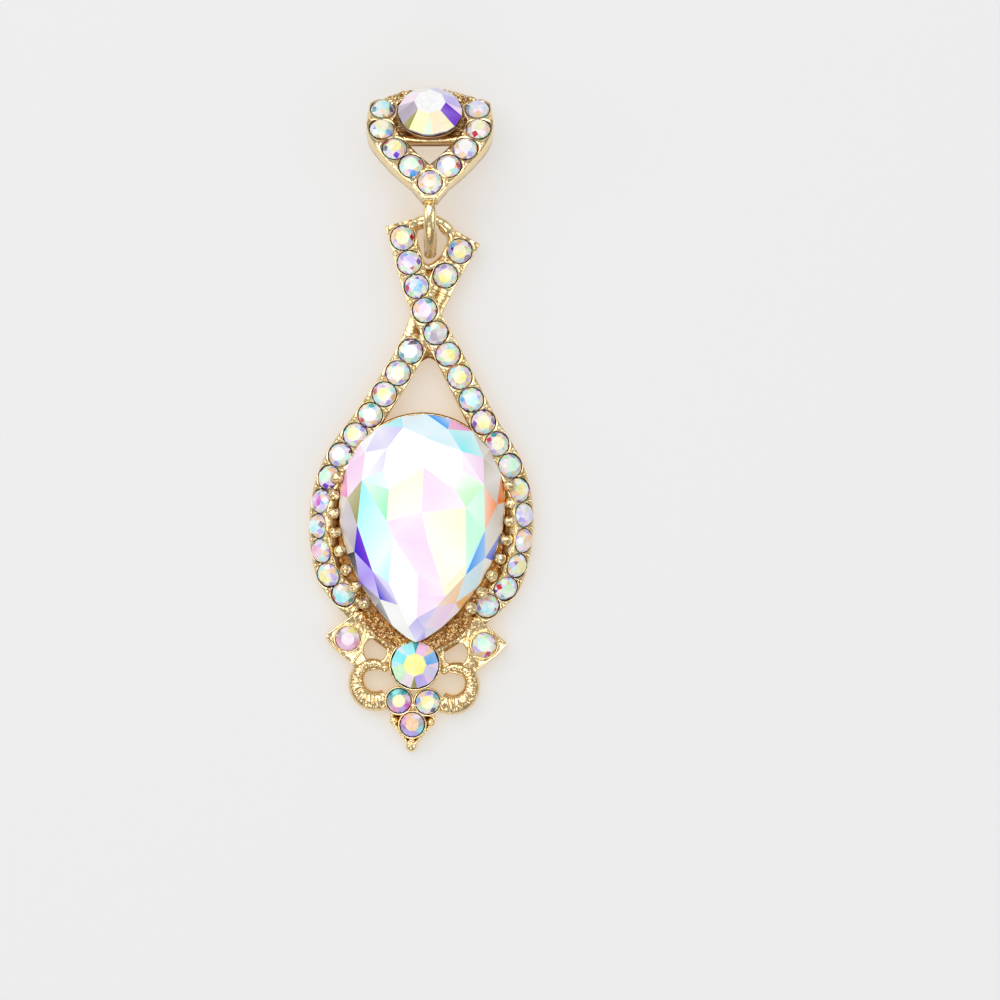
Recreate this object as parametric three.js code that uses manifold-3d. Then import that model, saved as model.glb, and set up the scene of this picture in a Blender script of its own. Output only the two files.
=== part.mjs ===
// A teardrop earring lying on its back: a stud whose cast loop holds a drop made of two crossing ribbons
// round a large pear-cut crystal. +X is right, +Y runs along the earring to the stud, +Z is up.
import * as THREE from 'three';
import { mergeVertices } from 'three/addons/utils/BufferGeometryUtils.js';
import Module from 'manifold-3d';

const wasm = await Module();
wasm.setup();

// Driving dimensions in millimetres and degrees
const setting = { wall: 0.45, gap: 0.15 };
const pear = { length: 25, width: 18, girdle: 3.9, crown: 2.7, pavilion: 3.1, centre: -0.95, gap: 0.3 };
const small = { width: 2.7, crown: 0.75, pavilion: 0.8 };
const accent = { width: 5.3, crown: 1.3, pavilion: 1.5, girdle: 3.0, clear: 0.2 };
const solitaire = { width: 7.2, crown: 1.7, pavilion: 1.6, window: 4.4, raise: 1.55 };
const ribbon = { border: 0.2, thickness: 1.9, channel: 2.5, crossingAbove: 10.5, top: 3.1, lean: 52 };
const crossing = { out: -0.043, rise: 1.6 };
const bed = { height: 3.0, inset: 0.8, shoulder: 0.34, reach: 0.42 };
const bead = { radius: 0.62, outset: 0.8, count: 8, from: 0.095, to: 0.285 };
const bail = { radius: 0.62, height: 3.9, arch: 1.05, dip: 0.9 };
const web = { width: 1.1, thickness: 1.4, overBack: 5.2, underBack: 4.2 };
const ornament = { height: 2.4, barWidth: 1.9, bead: 0.45, tipBead: 0.65, leafOut: 3.3, leafUp: 2.55 };
const scroll = { below: 1.9, hole: 1.25, thin: 0.9, thick: 2.3, swell: 0.8, from: 125, to: -125 };
const stud = {
  arc: 19.1, tilt: 17, turn: 2.6, side: 0.35, thickness: 2.2, border: 0.25, tip: 1.9, brow: 2.9,
  cupDepth: 2.6,
};
const linkLoop = { length: 8.8, width: 6.2, wire: 1.1, band: 1.4, pitchDown: 43, play: 0.34, slip: 0.8 };
const post = { radius: 0.42, pad: 1.4, padThickness: 0.7 };

// Sizes and places that follow from them
const ribbonWidth = small.width + 2 * ribbon.border;
const halfSpan = pear.width / 2 + ribbon.channel;
const loopHeight = pear.length / 2 + ribbon.crossingAbove;
const stoneReach = accent.width / 2 + small.width / 2 + setting.wall;
const accentY = pear.centre - pear.length / 2 - accent.clear - accent.width / 2;
const clusterX = small.width / 2 + setting.wall * 0.6;
const clusterY = accentY - Math.sqrt(stoneReach ** 2 - clusterX ** 2);
const clusterLowY = clusterY - Math.sqrt((small.width + setting.wall * 0.8) ** 2 - clusterX ** 2);
const scrollX = accent.width / 2 + setting.wall + scroll.hole;
const scrollY = accentY - scroll.below;
const leafX = scrollX + ornament.leafOut;
const leafY = accentY + ornament.leafUp;
const studHalfSpan = solitaire.width / 2 + setting.wall + small.width / 2;
const studPitch = small.width + setting.gap;
const studWidth = small.width + 2 * stud.border;
const solitaireAlong = solitaire.window + solitaire.width / 2;
const browAlong = solitaireAlong + stud.brow;

// Half of the teardrop's ribbon, from its lower end to just under the crossing. up and out are shares of
// loopHeight and halfSpan, top is a share of ribbon.top and lean a share of ribbon.lean.
const teardropRows = [
  { up: -0.452, out: 0.575, top: 0.77, lean: 0.3 },
  { up: -0.389, out: 0.713, top: 0.8, lean: 0.4 },
  { up: -0.3, out: 0.873, top: 0.86, lean: 0.6 },
  { up: -0.148, out: 0.974, top: 0.92, lean: 0.9 },
  { up: -0.04, out: 1.0, top: 0.95, lean: 1.0 },
  { up: 0.096, out: 0.974, top: 0.98, lean: 0.85 },
  { up: 0.274, out: 0.843, top: 1.0, lean: 0.45 },
  { up: 0.474, out: 0.574, top: 1.0, lean: 0.1 },
  { up: 0.796, out: 0.2, top: 1.05, lean: 0 },
];
// The arms past the crossing; rise is a share of crossing.rise above ribbon.top
const overArmRows = [
  { up: 1.0, out: crossing.out, rise: 1.0 },
  { up: 1.15, out: -0.165, rise: 0.7 },
  { up: 1.265, out: -0.243, rise: 0.35 },
  { up: 1.425, out: -0.345, rise: 0.1 },
];
const underArmRows = [
  { up: 1.0, out: crossing.out, rise: -0.06 },
  { up: 1.18, out: 0.113, rise: -0.1 },
  { up: 1.37, out: 0.313, rise: 0.05 },
];
// The runs of stones in each ribbon: start and end are shares of loopHeight back from the end of the arm,
// and space is the gap between two stones. A run with no end goes on to the ribbon's foot.
const overRuns = [{ start: 0.063, space: 0.17 }];
const underRuns = [
  { start: 0.063, end: 0.25, space: 0.5 },
  { start: 0.609, space: 0.11 },
];
// The leaf's corners on one side, in widths of a small stone out from and above its own stone
const leafCorners = [
  { out: 0.98, up: 0.09 },
  { out: 0.57, up: -0.43 },
  { out: -0.24, up: -1.06 },
  { out: -0.65, up: -0.43 },
  { out: -0.76, up: 0.43 },
  { out: -0.39, up: 1.17 },
];
// Where the small stones of the stud lie: side is a share of studHalfSpan, along counts stone pitches up
// the arched face from the lowest stone
const studStones = [
  { name: 'bottom', side: 0, along: 0 },
  { name: 'low_left', side: -0.389, along: 0.684 },
  { name: 'low_right', side: 0.389, along: 0.684 },
  { name: 'lower_left', side: -0.731, along: 1.446 },
  { name: 'lower_right', side: 0.731, along: 1.446 },
  { name: 'mid_left', side: -1, along: 2.386 },
  { name: 'mid_right', side: 1, along: 2.386 },
  { name: 'top_left', side: -0.98, along: 3.44 },
  { name: 'top_right', side: 0.98, along: 3.44 },
].map(({ name, side, along }) => ({ name, side: side * studHalfSpan, along: along * studPitch }));

const gold = new THREE.MeshStandardMaterial({ color: 0xe6b865, roughness: 0.22, metalness: 1 });
const crystal = new THREE.MeshStandardMaterial({ color: 0xf3e8f4, roughness: 0.04, metalness: 0.1 });
const up = new THREE.Vector3(0, 0, 1);
const radians = THREE.MathUtils.degToRad;

// Turns a closed geometry into a solid that can be joined and cut
function solid(geometry) {
  const bare = geometry.clone();
  bare.deleteAttribute('normal');
  bare.deleteAttribute('uv');
  const merged = mergeVertices(bare, 1e-4);
  return new wasm.Manifold(new wasm.Mesh({
    numProp: 3,
    vertProperties: new Float32Array(merged.attributes.position.array),
    triVerts: new Uint32Array(merged.index.array),
  }));
}

function join(solids) {
  return solids.reduce((whole, next) => whole.add(next));
}

// A named mesh of a solid, in its own material
function piece(name, body, material) {
  const mesh = body.getMesh();
  const geometry = new THREE.BufferGeometry();
  geometry.setAttribute('position', new THREE.BufferAttribute(new Float32Array(mesh.vertProperties), 3));
  geometry.setIndex(new THREE.BufferAttribute(new Uint32Array(mesh.triVerts), 1));
  geometry.computeVertexNormals();
  const result = new THREE.Mesh(geometry, material.clone());
  result.name = name;
  return result;
}

// A closed skin through equal rings of points, with flat fans at its two ends
function loft(rings) {
  const sides = rings[0].length;
  const points = rings.flat();
  const faces = [];
  for (let ring = 0; ring < rings.length - 1; ring += 1) {
    for (let side = 0; side < sides; side += 1) {
      const a = ring * sides + side;
      const b = ring * sides + ((side + 1) % sides);
      faces.push([a, b, b + sides], [a, b + sides, a + sides]);
    }
  }
  const last = (rings.length - 1) * sides;
  for (let side = 1; side < sides - 1; side += 1) {
    faces.push([0, side + 1, side], [last, last + side, last + side + 1]);
  }
  const geometry = new THREE.BufferGeometry().setFromPoints(points);
  geometry.setIndex(facingOut(points, faces).flat());
  return geometry;
}

// Turns every face round when the skin is inside out
function facingOut(points, faces) {
  const volume = faces.reduce((sum, [a, b, c]) => {
    const normal = new THREE.Vector3().crossVectors(points[b], points[c]);
    return sum + points[a].dot(normal);
  }, 0);
  return volume > 0 ? faces : faces.map(([a, b, c]) => [a, c, b]);
}

// The axes of a seat: z along the normal, and y as near as it can lie to the direction given
function seat(position, normal, along = new THREE.Vector3(0, 1, 0)) {
  const z = normal.clone().normalize();
  const x = new THREE.Vector3().crossVectors(along, z).normalize();
  const y = new THREE.Vector3().crossVectors(z, x);
  return new THREE.Matrix4().makeBasis(x, y, z).setPosition(position);
}

// A round cut stone about its girdle: a table, sixteen facets round it and a blunt cone below
function roundStone({ width, crown, pavilion }) {
  const ring = (radius, height, turn) => Array.from({ length: 8 }, (_, index) => {
    const angle = ((index + turn) * Math.PI) / 4;
    return new THREE.Vector3(radius * Math.cos(angle), radius * Math.sin(angle), height);
  });
  const radius = width / 2;
  return loft([
    ring(radius * 0.5, -pavilion, 0),
    ring(radius, 0, 0),
    ring(radius * 0.55, crown, 0.5),
  ]);
}

// An upright prism with the given number of sides, from one height to another
function pillar(radius, from, to, sides = 16) {
  const geometry = new THREE.CylinderGeometry(radius, radius, to - from, sides);
  geometry.rotateX(Math.PI / 2);
  geometry.rotateZ(Math.PI / sides);
  geometry.translate(0, 0, (from + to) / 2);
  return geometry;
}

// The pocket that a stone sits in, open upwards
function pocket({ width, pavilion, crown }) {
  const radius = (width / 2 + setting.gap) / Math.cos(Math.PI / 8);
  const geometry = pillar(radius, -pavilion - setting.gap, crown + setting.gap, 8);
  geometry.rotateZ(Math.PI / 8);
  return geometry;
}

function placed(geometry, matrix) {
  return solid(geometry.clone().applyMatrix4(matrix));
}

function slab(outline, height) {
  return solid(new THREE.ExtrudeGeometry(new THREE.Shape(outline), { depth: height, bevelEnabled: false }));
}

function sphere(x, y, z, radius) {
  const geometry = new THREE.SphereGeometry(radius, 10, 6);
  geometry.rotateX(Math.PI / 2);
  geometry.translate(x, y, z);
  return solid(geometry);
}

// The pear outline: round above and pointed below, a sine narrowed towards the point
function pearOutline(grow, count = 24) {
  const bluntness = 0.5;
  const widest = Math.acos(-bluntness / (2 + bluntness));
  const shape = (angle) => Math.sin(angle) * Math.sin(angle / 2) ** bluntness;
  return Array.from({ length: count }, (_, index) => {
    const angle = ((index + 0.5) * 2 * Math.PI) / count;
    const turn = Math.min(angle, 2 * Math.PI - angle);
    const side = angle < Math.PI ? 1 : -1;
    const x = side * (pear.width / 2 + grow) * (shape(turn) / shape(widest));
    const y = pear.centre - Math.cos(angle) * (pear.length / 2 + grow);
    return new THREE.Vector2(x, y);
  });
}

function pearRing(grow, share, height) {
  return pearOutline(grow).map(({ x, y }) => {
    return new THREE.Vector3(x * share, pear.centre + (y - pear.centre) * share, height);
  });
}

function pearStone() {
  return solid(loft([
    pearRing(0, 0.5, pear.girdle - pear.pavilion + pear.gap),
    pearRing(0, 1, pear.girdle),
    pearRing(0, 0.8, pear.girdle + pear.crown * 0.62),
    pearRing(0, 0.5, pear.girdle + pear.crown),
  ]));
}

function pearPocket() {
  return solid(loft([
    pearRing(pear.gap * 2, 0.5, pear.girdle - pear.pavilion),
    pearRing(pear.gap, 1, pear.girdle),
    pearRing(pear.gap, 1, pear.girdle + pear.crown),
  ]));
}

// Points, normals and tangents along one ribbon's line of stones
function ribbonRoute(side, armRows) {
  const lower = teardropRows.map((row) => ({
    point: new THREE.Vector3(
      side * row.out * halfSpan,
      row.up * loopHeight,
      row.top * ribbon.top,
    ),
    lean: row.lean * ribbon.lean,
  }));
  const arm = armRows.map((row) => ({
    point: new THREE.Vector3(
      row.out * halfSpan,
      row.up * loopHeight,
      ribbon.top + row.rise * crossing.rise,
    ),
    lean: 0,
  }));
  const rows = [...lower, ...arm];
  const route = new THREE.CatmullRomCurve3(rows.map((row) => row.point), false, 'centripetal');
  route.arcLengthDivisions = 800;
  const leanAt = (share) => {
    const place = route.getUtoTmapping(share) * (rows.length - 1);
    const from = Math.min(Math.floor(place), rows.length - 2);
    return THREE.MathUtils.lerp(rows[from].lean, rows[from + 1].lean, place - from);
  };
  const at = (share) => {
    const tangent = route.getTangentAt(share);
    const outward = new THREE.Vector3(side * tangent.y, -side * tangent.x, 0).normalize();
    const normal = up.clone().applyAxisAngle(
      new THREE.Vector3().crossVectors(up, outward),
      radians(leanAt(share)),
    );
    normal.addScaledVector(tangent, -normal.dot(tangent)).normalize();
    return { point: route.getPointAt(share), tangent, normal, outward };
  };
  return { at, length: route.getLength() };
}

// A flat bar whose top face follows the given places, each with a point, a normal and a tangent
function bar(places, width, thickness) {
  return solid(loft(places.map(({ point, normal, tangent, wide = 1 }) => {
    const across = new THREE.Vector3().crossVectors(tangent, normal).normalize();
    const corner = (sideways, down) => point.clone()
      .addScaledVector(across, sideways * width * wide)
      .addScaledVector(normal, -down * thickness);
    return [corner(0.5, 0), corner(-0.5, 0), corner(-0.5, 1), corner(0.5, 1)];
  })));
}

// A round rod along the given places
function rod(places, radius) {
  return solid(loft(places.map(({ point, normal, tangent }) => {
    const across = new THREE.Vector3().crossVectors(tangent, normal).normalize();
    return Array.from({ length: 8 }, (_, index) => {
      const angle = ((index + 0.5) * Math.PI) / 4;
      return point.clone()
        .addScaledVector(across, radius * Math.cos(angle))
        .addScaledVector(normal, radius * Math.sin(angle));
    });
  })));
}

// Places along a chosen line of points, with the normal turned to stay square to the line
function placesAlong(points, count, normal = up) {
  const line = new THREE.CatmullRomCurve3(points, false, 'centripetal');
  return Array.from({ length: count + 1 }, (_, index) => {
    const tangent = line.getTangentAt(index / count);
    const square = normal.clone().addScaledVector(tangent, -normal.dot(tangent)).normalize();
    return { point: line.getPointAt(index / count), tangent, normal: square };
  });
}

// How far from the end of the arm each stone of a run sits
function runPlaces({ start, end, space }, length) {
  const pitch = small.width + space;
  const first = start * loopHeight;
  const last = end === undefined ? length - ribbonWidth / 2 : end * loopHeight;
  const count = Math.floor((last - first) / pitch) + 1;
  return Array.from({ length: count }, (_, index) => first + index * pitch);
}

// One ribbon with the stones of its runs fused in
function ribbonBody(route, runs) {
  const steps = 34;
  const places = Array.from({ length: steps + 1 }, (_, index) => route.at(index / steps));
  const stones = runs.flatMap((run) => runPlaces(run, route.length)).map((back) => {
    const { point, normal, tangent } = route.at(1 - back / route.length);
    return placed(roundStone(small), seat(point, normal, tangent));
  });
  return join([bar(places, ribbonWidth, ribbon.thickness), ...stones]);
}

// The bed that fills the teardrop round the large stone, with its collar
function stoneBed(route) {
  const edge = [];
  const steps = 14;
  for (let index = 0; index <= steps; index += 1) {
    const { point, outward } = route.at((index / steps) * bed.reach);
    if (point.y < bed.shoulder * pear.length) {
      edge.push(new THREE.Vector2(point.x - outward.x * bed.inset, point.y - outward.y * bed.inset));
    }
  }
  const mirrored = edge.map(({ x, y }) => new THREE.Vector2(-x, y)).reverse();
  const foot = new THREE.Vector2(0, accentY);
  const collar = loft([
    pearRing(pear.gap + setting.wall, 0.8, 0),
    pearRing(pear.gap + setting.wall, 1, bed.height),
    pearRing(pear.gap + setting.wall, 1, pear.girdle + pear.gap),
  ]);
  return join([slab([...edge, ...mirrored, foot], bed.height), solid(collar)]);
}

// Two rows of beads between the large stone and the ribbon
function beadRows() {
  const outline = new THREE.CatmullRomCurve3(
    pearOutline(bead.outset).map(({ x, y }) => new THREE.Vector3(x, y, pear.girdle)),
    true,
  );
  const beads = [];
  for (let index = 0; index < bead.count; index += 1) {
    const share = THREE.MathUtils.lerp(bead.from, bead.to, index / (bead.count - 1));
    const { x, y, z } = outline.getPointAt(share);
    beads.push(sphere(x, y, z, bead.radius), sphere(-x, y, z, bead.radius));
  }
  return join(beads);
}

// The line of the cast bar that joins the two upper ends in an arch, its rise in shares of bail.arch
function bailLine(over, under) {
  const raised = (point) => new THREE.Vector3(point.x, point.y, bail.height);
  const left = raised(over.at(1).point);
  const right = raised(under.at(1).point);
  const middle = left.clone().lerp(right, 0.5);
  const step = (point, share, z = 0) => point.clone().add(new THREE.Vector3(0, share * bail.arch, z));
  return [
    step(left, -0.45, -bail.dip),
    step(left.clone().lerp(middle, 0.5), 0.62),
    step(middle, 1),
    step(middle.clone().lerp(right, 0.55), 0.71),
    step(right, -0.4, -bail.dip),
  ];
}

// The web below the bail's hole, from one arm to the other
function bailWeb(over, under) {
  const from = over.at(1 - web.overBack / over.length).point;
  const to = under.at(1 - web.underBack / under.length).point;
  const middle = from.clone().lerp(to, 0.5);
  return bar(placesAlong([from, middle, to], 4), web.width, web.thickness);
}

// A round cup under one stone of the ornament, from the surface up
function cup(stone, x, y, height) {
  const geometry = pillar(stone.width / 2 + setting.wall, 0, height, 16);
  geometry.translate(x, y, 0);
  return solid(geometry);
}

// One side of the ornament at the foot of the drop: the bar under the large stone, the leaf and the scroll
function ornamentSide(side, ribbonFoot) {
  const at = (x, y) => new THREE.Vector3(side * x, y, ornament.height);
  const link = bar(
    placesAlong([
      at(Math.abs(ribbonFoot.x) + setting.wall, ribbonFoot.y - setting.wall),
      at(scrollX, accentY + accent.width * 0.64),
      at(accent.width * 0.38, accentY + accent.width * 0.34),
    ], 4),
    ornament.barWidth,
    ornament.height,
  );
  const corners = leafCorners.map((corner) => new THREE.Vector2(
    side * (leafX + corner.out * small.width),
    leafY + corner.up * small.width,
  ));
  return join([link, slab(corners, ornament.height), scrollBody(side)]);
}

// The scroll curls from its thin free end by the large stone, round the outside, to the cluster, and is
// at its full width after the share of the curl that scroll.swell gives
function scrollBody(side) {
  const steps = 14;
  const from = radians(scroll.from);
  const to = radians(scroll.to);
  return bar(Array.from({ length: steps + 1 }, (_, index) => {
    const share = index / steps;
    const angle = from + share * (to - from);
    const width = THREE.MathUtils.lerp(scroll.thin, scroll.thick, Math.min(1, share / scroll.swell));
    const radius = scroll.hole + width / 2;
    return {
      point: new THREE.Vector3(
        side * (scrollX + radius * Math.cos(angle)),
        scrollY + radius * Math.sin(angle),
        ornament.height,
      ),
      tangent: new THREE.Vector3(side * Math.sin(angle), -Math.cos(angle), 0),
      normal: up,
      wide: width,
    };
  }), 1, ornament.height);
}

// Where the stones of the ornament sit, each a point on the axis of its cup
function ornamentSeats() {
  return [
    { name: 'leaf_stone_left', x: -leafX, y: leafY },
    { name: 'leaf_stone_right', x: leafX, y: leafY },
    { name: 'cluster_stone_left', x: -clusterX, y: clusterY },
    { name: 'cluster_stone_right', x: clusterX, y: clusterY },
    { name: 'cluster_stone_low', x: 0, y: clusterLowY },
  ];
}

// The pointed end under the lowest stone: a bracket with a bead at each corner
function tipOfDrop() {
  const radius = ornament.tipBead;
  const cupRadius = small.width / 2 + setting.wall;
  const corners = [
    new THREE.Vector2(cupRadius * 1.08, clusterLowY + radius * 0.45),
    new THREE.Vector2(-cupRadius * 1.08, clusterLowY + radius * 0.45),
    new THREE.Vector2(0, clusterLowY - cupRadius - radius * 0.8),
  ];
  return [slab(corners, radius * 2), ...corners.map(({ x, y }) => sphere(x, y, radius, radius))];
}

// The whole casting of the drop, with the stones of its ribbons fused in
function dropFrame(over, under) {
  const foot = over.at(0).point;
  const seats = ornamentSeats();
  const body = join([
    stoneBed(over),
    ribbonBody(over, overRuns),
    ribbonBody(under, underRuns),
    rod(placesAlong(bailLine(over, under), 12), bail.radius),
    bailWeb(over, under),
    ornamentSide(1, foot),
    ornamentSide(-1, foot),
    cup(accent, 0, accentY, accent.girdle),
    ...seats.map(({ x, y }) => cup(small, x, y, ornament.height)),
    sphere(0, clusterY - ornament.bead, ornament.height, ornament.bead),
    ...tipOfDrop(),
  ]);
  const pockets = join([
    pearPocket(),
    placed(pocket(accent), seat(new THREE.Vector3(0, accentY, accent.girdle), up)),
    ...seats.map(({ x, y }) => placed(pocket(small), seat(new THREE.Vector3(x, y, ornament.height), up))),
  ]);
  return join([body.subtract(pockets), beadRows().subtract(pearPocket())]);
}

// A place on the stud's arched face, in the stud's own frame with its lowest stone at the origin
function studPlace(side, along, raise = 0) {
  const start = radians(stud.tilt);
  const tilt = start + along / stud.arc;
  const normal = new THREE.Vector3(0, Math.sin(tilt), Math.cos(tilt));
  const point = new THREE.Vector3(
    side,
    stud.arc * (Math.sin(tilt) - Math.sin(start)),
    stud.arc * (Math.cos(tilt) - Math.cos(start)),
  ).addScaledVector(normal, raise);
  return { point, normal };
}

// Places for a bar that runs over the arched face through pairs of side and along
function studLine(pairs, count) {
  const line = new THREE.CatmullRomCurve3(
    pairs.map(([side, along]) => new THREE.Vector3(side, along, 0)),
    false,
    'centripetal',
  );
  return Array.from({ length: count + 1 }, (_, index) => {
    const flat = line.getPointAt(index / count);
    const heading = line.getTangentAt(index / count);
    const { point, normal } = studPlace(flat.x, flat.y);
    const uphill = new THREE.Vector3(0, normal.z, -normal.y);
    const tangent = new THREE.Vector3(heading.x, 0, 0).addScaledVector(uphill, heading.y).normalize();
    return { point, normal, tangent };
  });
}

// The casting of the stud: two side bars that taper to its tip, the arched top, the big cup and the loop
function studFrame() {
  const pointed = (place, index) => ({ ...place, wide: Math.min(1, 0.3 + index * 0.6) });
  const sideBar = (side) => bar(studLine([
    [0, -stud.tip],
    ...studStones.filter((stone) => stone.side * side >= 0).map((stone) => [stone.side, stone.along]),
    [side * studHalfSpan * 0.9, browAlong - setting.gap * 2],
  ], 12).map(pointed), studWidth, stud.thickness);
  const top = bar(studLine([
    [-studHalfSpan, browAlong - small.width / 2],
    [-studHalfSpan * 0.67, browAlong],
    [0, browAlong + setting.wall / 2],
    [studHalfSpan * 0.67, browAlong],
    [studHalfSpan, browAlong - small.width / 2],
  ], 10), studWidth * 0.7, stud.thickness);
  const big = studPlace(0, solitaireAlong, solitaire.raise);
  const bigSeat = seat(big.point, big.normal);
  const ledge = bar(studLine([
    [-studHalfSpan * 0.8, solitaire.window + setting.wall],
    [0, solitaire.window + setting.gap],
    [studHalfSpan * 0.8, solitaire.window + setting.wall],
  ], 4), small.width / 2, stud.thickness * 0.7);
  const body = join([
    sideBar(1),
    sideBar(-1),
    top,
    ledge,
    placed(pillar(solitaire.width / 2 + setting.wall, -stud.cupDepth, -setting.gap, 20), bigSeat),
    loopBody(),
  ]);
  return body.subtract(join([
    placed(pocket(solitaire), bigSeat),
    ...studStones.map(({ side, along }) => {
      const { point, normal } = studPlace(side, along);
      return placed(pocket(small), seat(point, normal));
    }),
  ]));
}

// The middle of the oval loop under the stud's tip, and the direction in which it hangs
function loopFrame() {
  const { point } = studPlace(0, -stud.tip / 2, -stud.thickness * 0.75);
  const pitch = radians(linkLoop.pitchDown);
  const heading = new THREE.Vector3(0, -Math.cos(pitch), -Math.sin(pitch));
  const square = new THREE.Vector3(0, -heading.z, heading.y);
  return { middle: point.addScaledVector(heading, linkLoop.length / 2), heading, square };
}

// The loop stands across the face of the stud, and the drop's bail hangs in it
function loopBody() {
  const { middle, heading, square } = loopFrame();
  const sides = 18;
  const ring = (long, wide, x) => Array.from({ length: sides }, (_, index) => {
    const angle = (index * 2 * Math.PI) / sides;
    return middle.clone()
      .addScaledVector(heading, long * Math.cos(angle))
      .addScaledVector(square, wide * Math.sin(angle))
      .setX(x);
  });
  const oval = (long, wide, band) => solid(loft([ring(long, wide, -band / 2), ring(long, wide, band / 2)]));
  const { length, width, wire, band } = linkLoop;
  const outer = oval(length / 2, width / 2, band);
  const inner = oval(length / 2 - wire, width / 2 - wire, band * 2);
  return outer.subtract(inner);
}

// Where the stud stands so that the drop's bail lies low inside its loop
function studPosition(bailTop) {
  const { middle, heading, square } = loopFrame();
  const rest = linkLoop.width / 2 - linkLoop.wire - bail.radius - linkLoop.play;
  const hung = middle.addScaledVector(heading, linkLoop.slip).addScaledVector(square, rest);
  const turned = hung.applyAxisAngle(up, radians(stud.turn));
  return new THREE.Vector3(bailTop.x - turned.x - stud.side, bailTop.y - turned.y, bailTop.z - turned.z);
}

// The pad soldered behind the big cup, and the pin that goes from it straight down to the surface
function earPost(studHeight) {
  const { point, normal } = studPlace(0, solitaireAlong, solitaire.raise);
  const back = stud.cupDepth + setting.gap;
  const pad = pillar(post.pad, -back - post.padThickness, -back, 14);
  const top = new THREE.Vector3(0, 0, -back - post.padThickness / 2);
  const height = point.z + studHeight + top.z * normal.z;
  const straightUp = new THREE.Vector3(0, -normal.y, normal.z);
  const pin = placed(pillar(post.radius, -height, 0, 10), seat(top, straightUp));
  return join([solid(pad), pin]);
}

// Assembly: the drop lies level, the stud is turned, tilted and raised on its post
const over = ribbonRoute(1, overArmRows);
const under = ribbonRoute(-1, underArmRows);
const drop = new THREE.Group();
drop.add(piece('drop_frame', dropFrame(over, under), gold));
drop.add(piece('pear_stone', pearStone(), crystal));

function addStone(group, name, stone, position, normal) {
  const mesh = piece(name, solid(roundStone(stone)), crystal);
  mesh.applyMatrix4(seat(position, normal));
  group.add(mesh);
}
addStone(drop, 'accent_stone', accent, new THREE.Vector3(0, accentY, accent.girdle), up);
for (const { name, x, y } of ornamentSeats()) {
  addStone(drop, name, small, new THREE.Vector3(x, y, ornament.height), up);
}

const head = new THREE.Group();
head.position.copy(studPosition(bailLine(over, under)[2]));
head.rotation.z = radians(stud.turn);
head.add(piece('stud_frame', studFrame(), gold));
const big = studPlace(0, solitaireAlong, solitaire.raise);
addStone(head, 'solitaire_stone', solitaire, big.point, big.normal);
for (const { name, side, along } of studStones) {
  const { point, normal } = studPlace(side, along);
  addStone(head, `stud_stone_${name}`, small, point, normal);
}
const pin = piece('ear_post', earPost(head.position.z), gold);
pin.applyMatrix4(seat(big.point, big.normal));
head.add(pin);

// The origin is the middle of the base, under the whole earring
const earring = new THREE.Group();
earring.add(drop, head);
earring.updateMatrixWorld(true);
const bounds = new THREE.Box3().setFromObject(earring, true);
const middle = bounds.getCenter(new THREE.Vector3());
earring.position.set(-middle.x, -middle.y, -bounds.min.z);
earring.updateMatrixWorld(true);

export default earring;
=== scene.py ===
"""Dresses the teardrop earring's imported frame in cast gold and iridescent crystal, and lights it"""

from types import SimpleNamespace

import bpy
import numpy as np
from bpy.props import FloatProperty, FloatVectorProperty, PointerProperty
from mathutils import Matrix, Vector


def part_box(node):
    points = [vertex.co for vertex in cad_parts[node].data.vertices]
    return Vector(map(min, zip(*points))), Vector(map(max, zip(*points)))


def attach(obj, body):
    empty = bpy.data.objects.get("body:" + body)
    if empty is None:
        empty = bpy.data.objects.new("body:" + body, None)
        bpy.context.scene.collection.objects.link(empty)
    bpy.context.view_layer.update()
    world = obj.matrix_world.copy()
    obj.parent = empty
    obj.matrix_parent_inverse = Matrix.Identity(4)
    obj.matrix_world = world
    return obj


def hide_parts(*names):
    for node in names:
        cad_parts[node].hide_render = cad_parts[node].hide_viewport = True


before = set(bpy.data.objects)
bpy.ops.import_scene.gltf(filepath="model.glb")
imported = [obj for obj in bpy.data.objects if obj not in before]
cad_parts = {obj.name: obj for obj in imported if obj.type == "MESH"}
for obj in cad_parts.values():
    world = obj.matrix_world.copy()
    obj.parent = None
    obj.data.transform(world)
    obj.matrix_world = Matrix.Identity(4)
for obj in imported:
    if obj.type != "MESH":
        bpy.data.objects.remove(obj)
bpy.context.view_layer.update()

bl_info = {
    "name": "Teardrop Earring",
    "version": (1, 0, 0),
    "blender": (4, 5, 0),
    "location": "View3D > Sidebar > Earring",
    "description": "Builds the cast gold and the coated crystals of a teardrop earring over its frame",
    "category": "Object",
}

MM = 0.001

# The shape of the drop, in millimetres and degrees, as the frame has it
PEAR = SimpleNamespace(length=25.0, width=18.0, girdle=3.9, crown=2.7, pavilion=3.1, centre=-0.95, gap=0.3)
WALL = 0.45
COLLAR = 0.03
GIRDLE_GROWTH = 0.28
HALF_SPAN = PEAR.width / 2 + 2.5
LOOP_HEIGHT = PEAR.length / 2 + 10.5
RIBBON_TOP = 3.1
RIBBON_LEAN = 52.0
CROSSING_OUT = -0.043
CROSSING_RISE = 1.6
BED_HEIGHT = 3.0
BED_INSET = 0.8
BED_SHOULDER = 0.34 * PEAR.length
BED_REACH = 0.42
END_RIM = 0.3
# Height of a stone's crown and depth of its pavilion, and the space round it in its pocket
SMALL_CUT = (0.75, 0.8)
ACCENT_CUT = (1.3, 1.5)
SOLITAIRE_CUT = (1.7, 1.6)
POCKET_GAP = 0.07
# Painted shade on the inner side wall of each ribbon
INNER_WALL_SHADE = 0.75
# How far a large facet's tint fades and deepens between its corners
PEAR_FADES = (0.35, 1.35)
LEAF_STONES = ["leaf_stone_left", "leaf_stone_right"]
CLUSTER_STONES = ["cluster_stone_left", "cluster_stone_right", "cluster_stone_low"]
CROSSING_FOOT = 17.0
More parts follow.
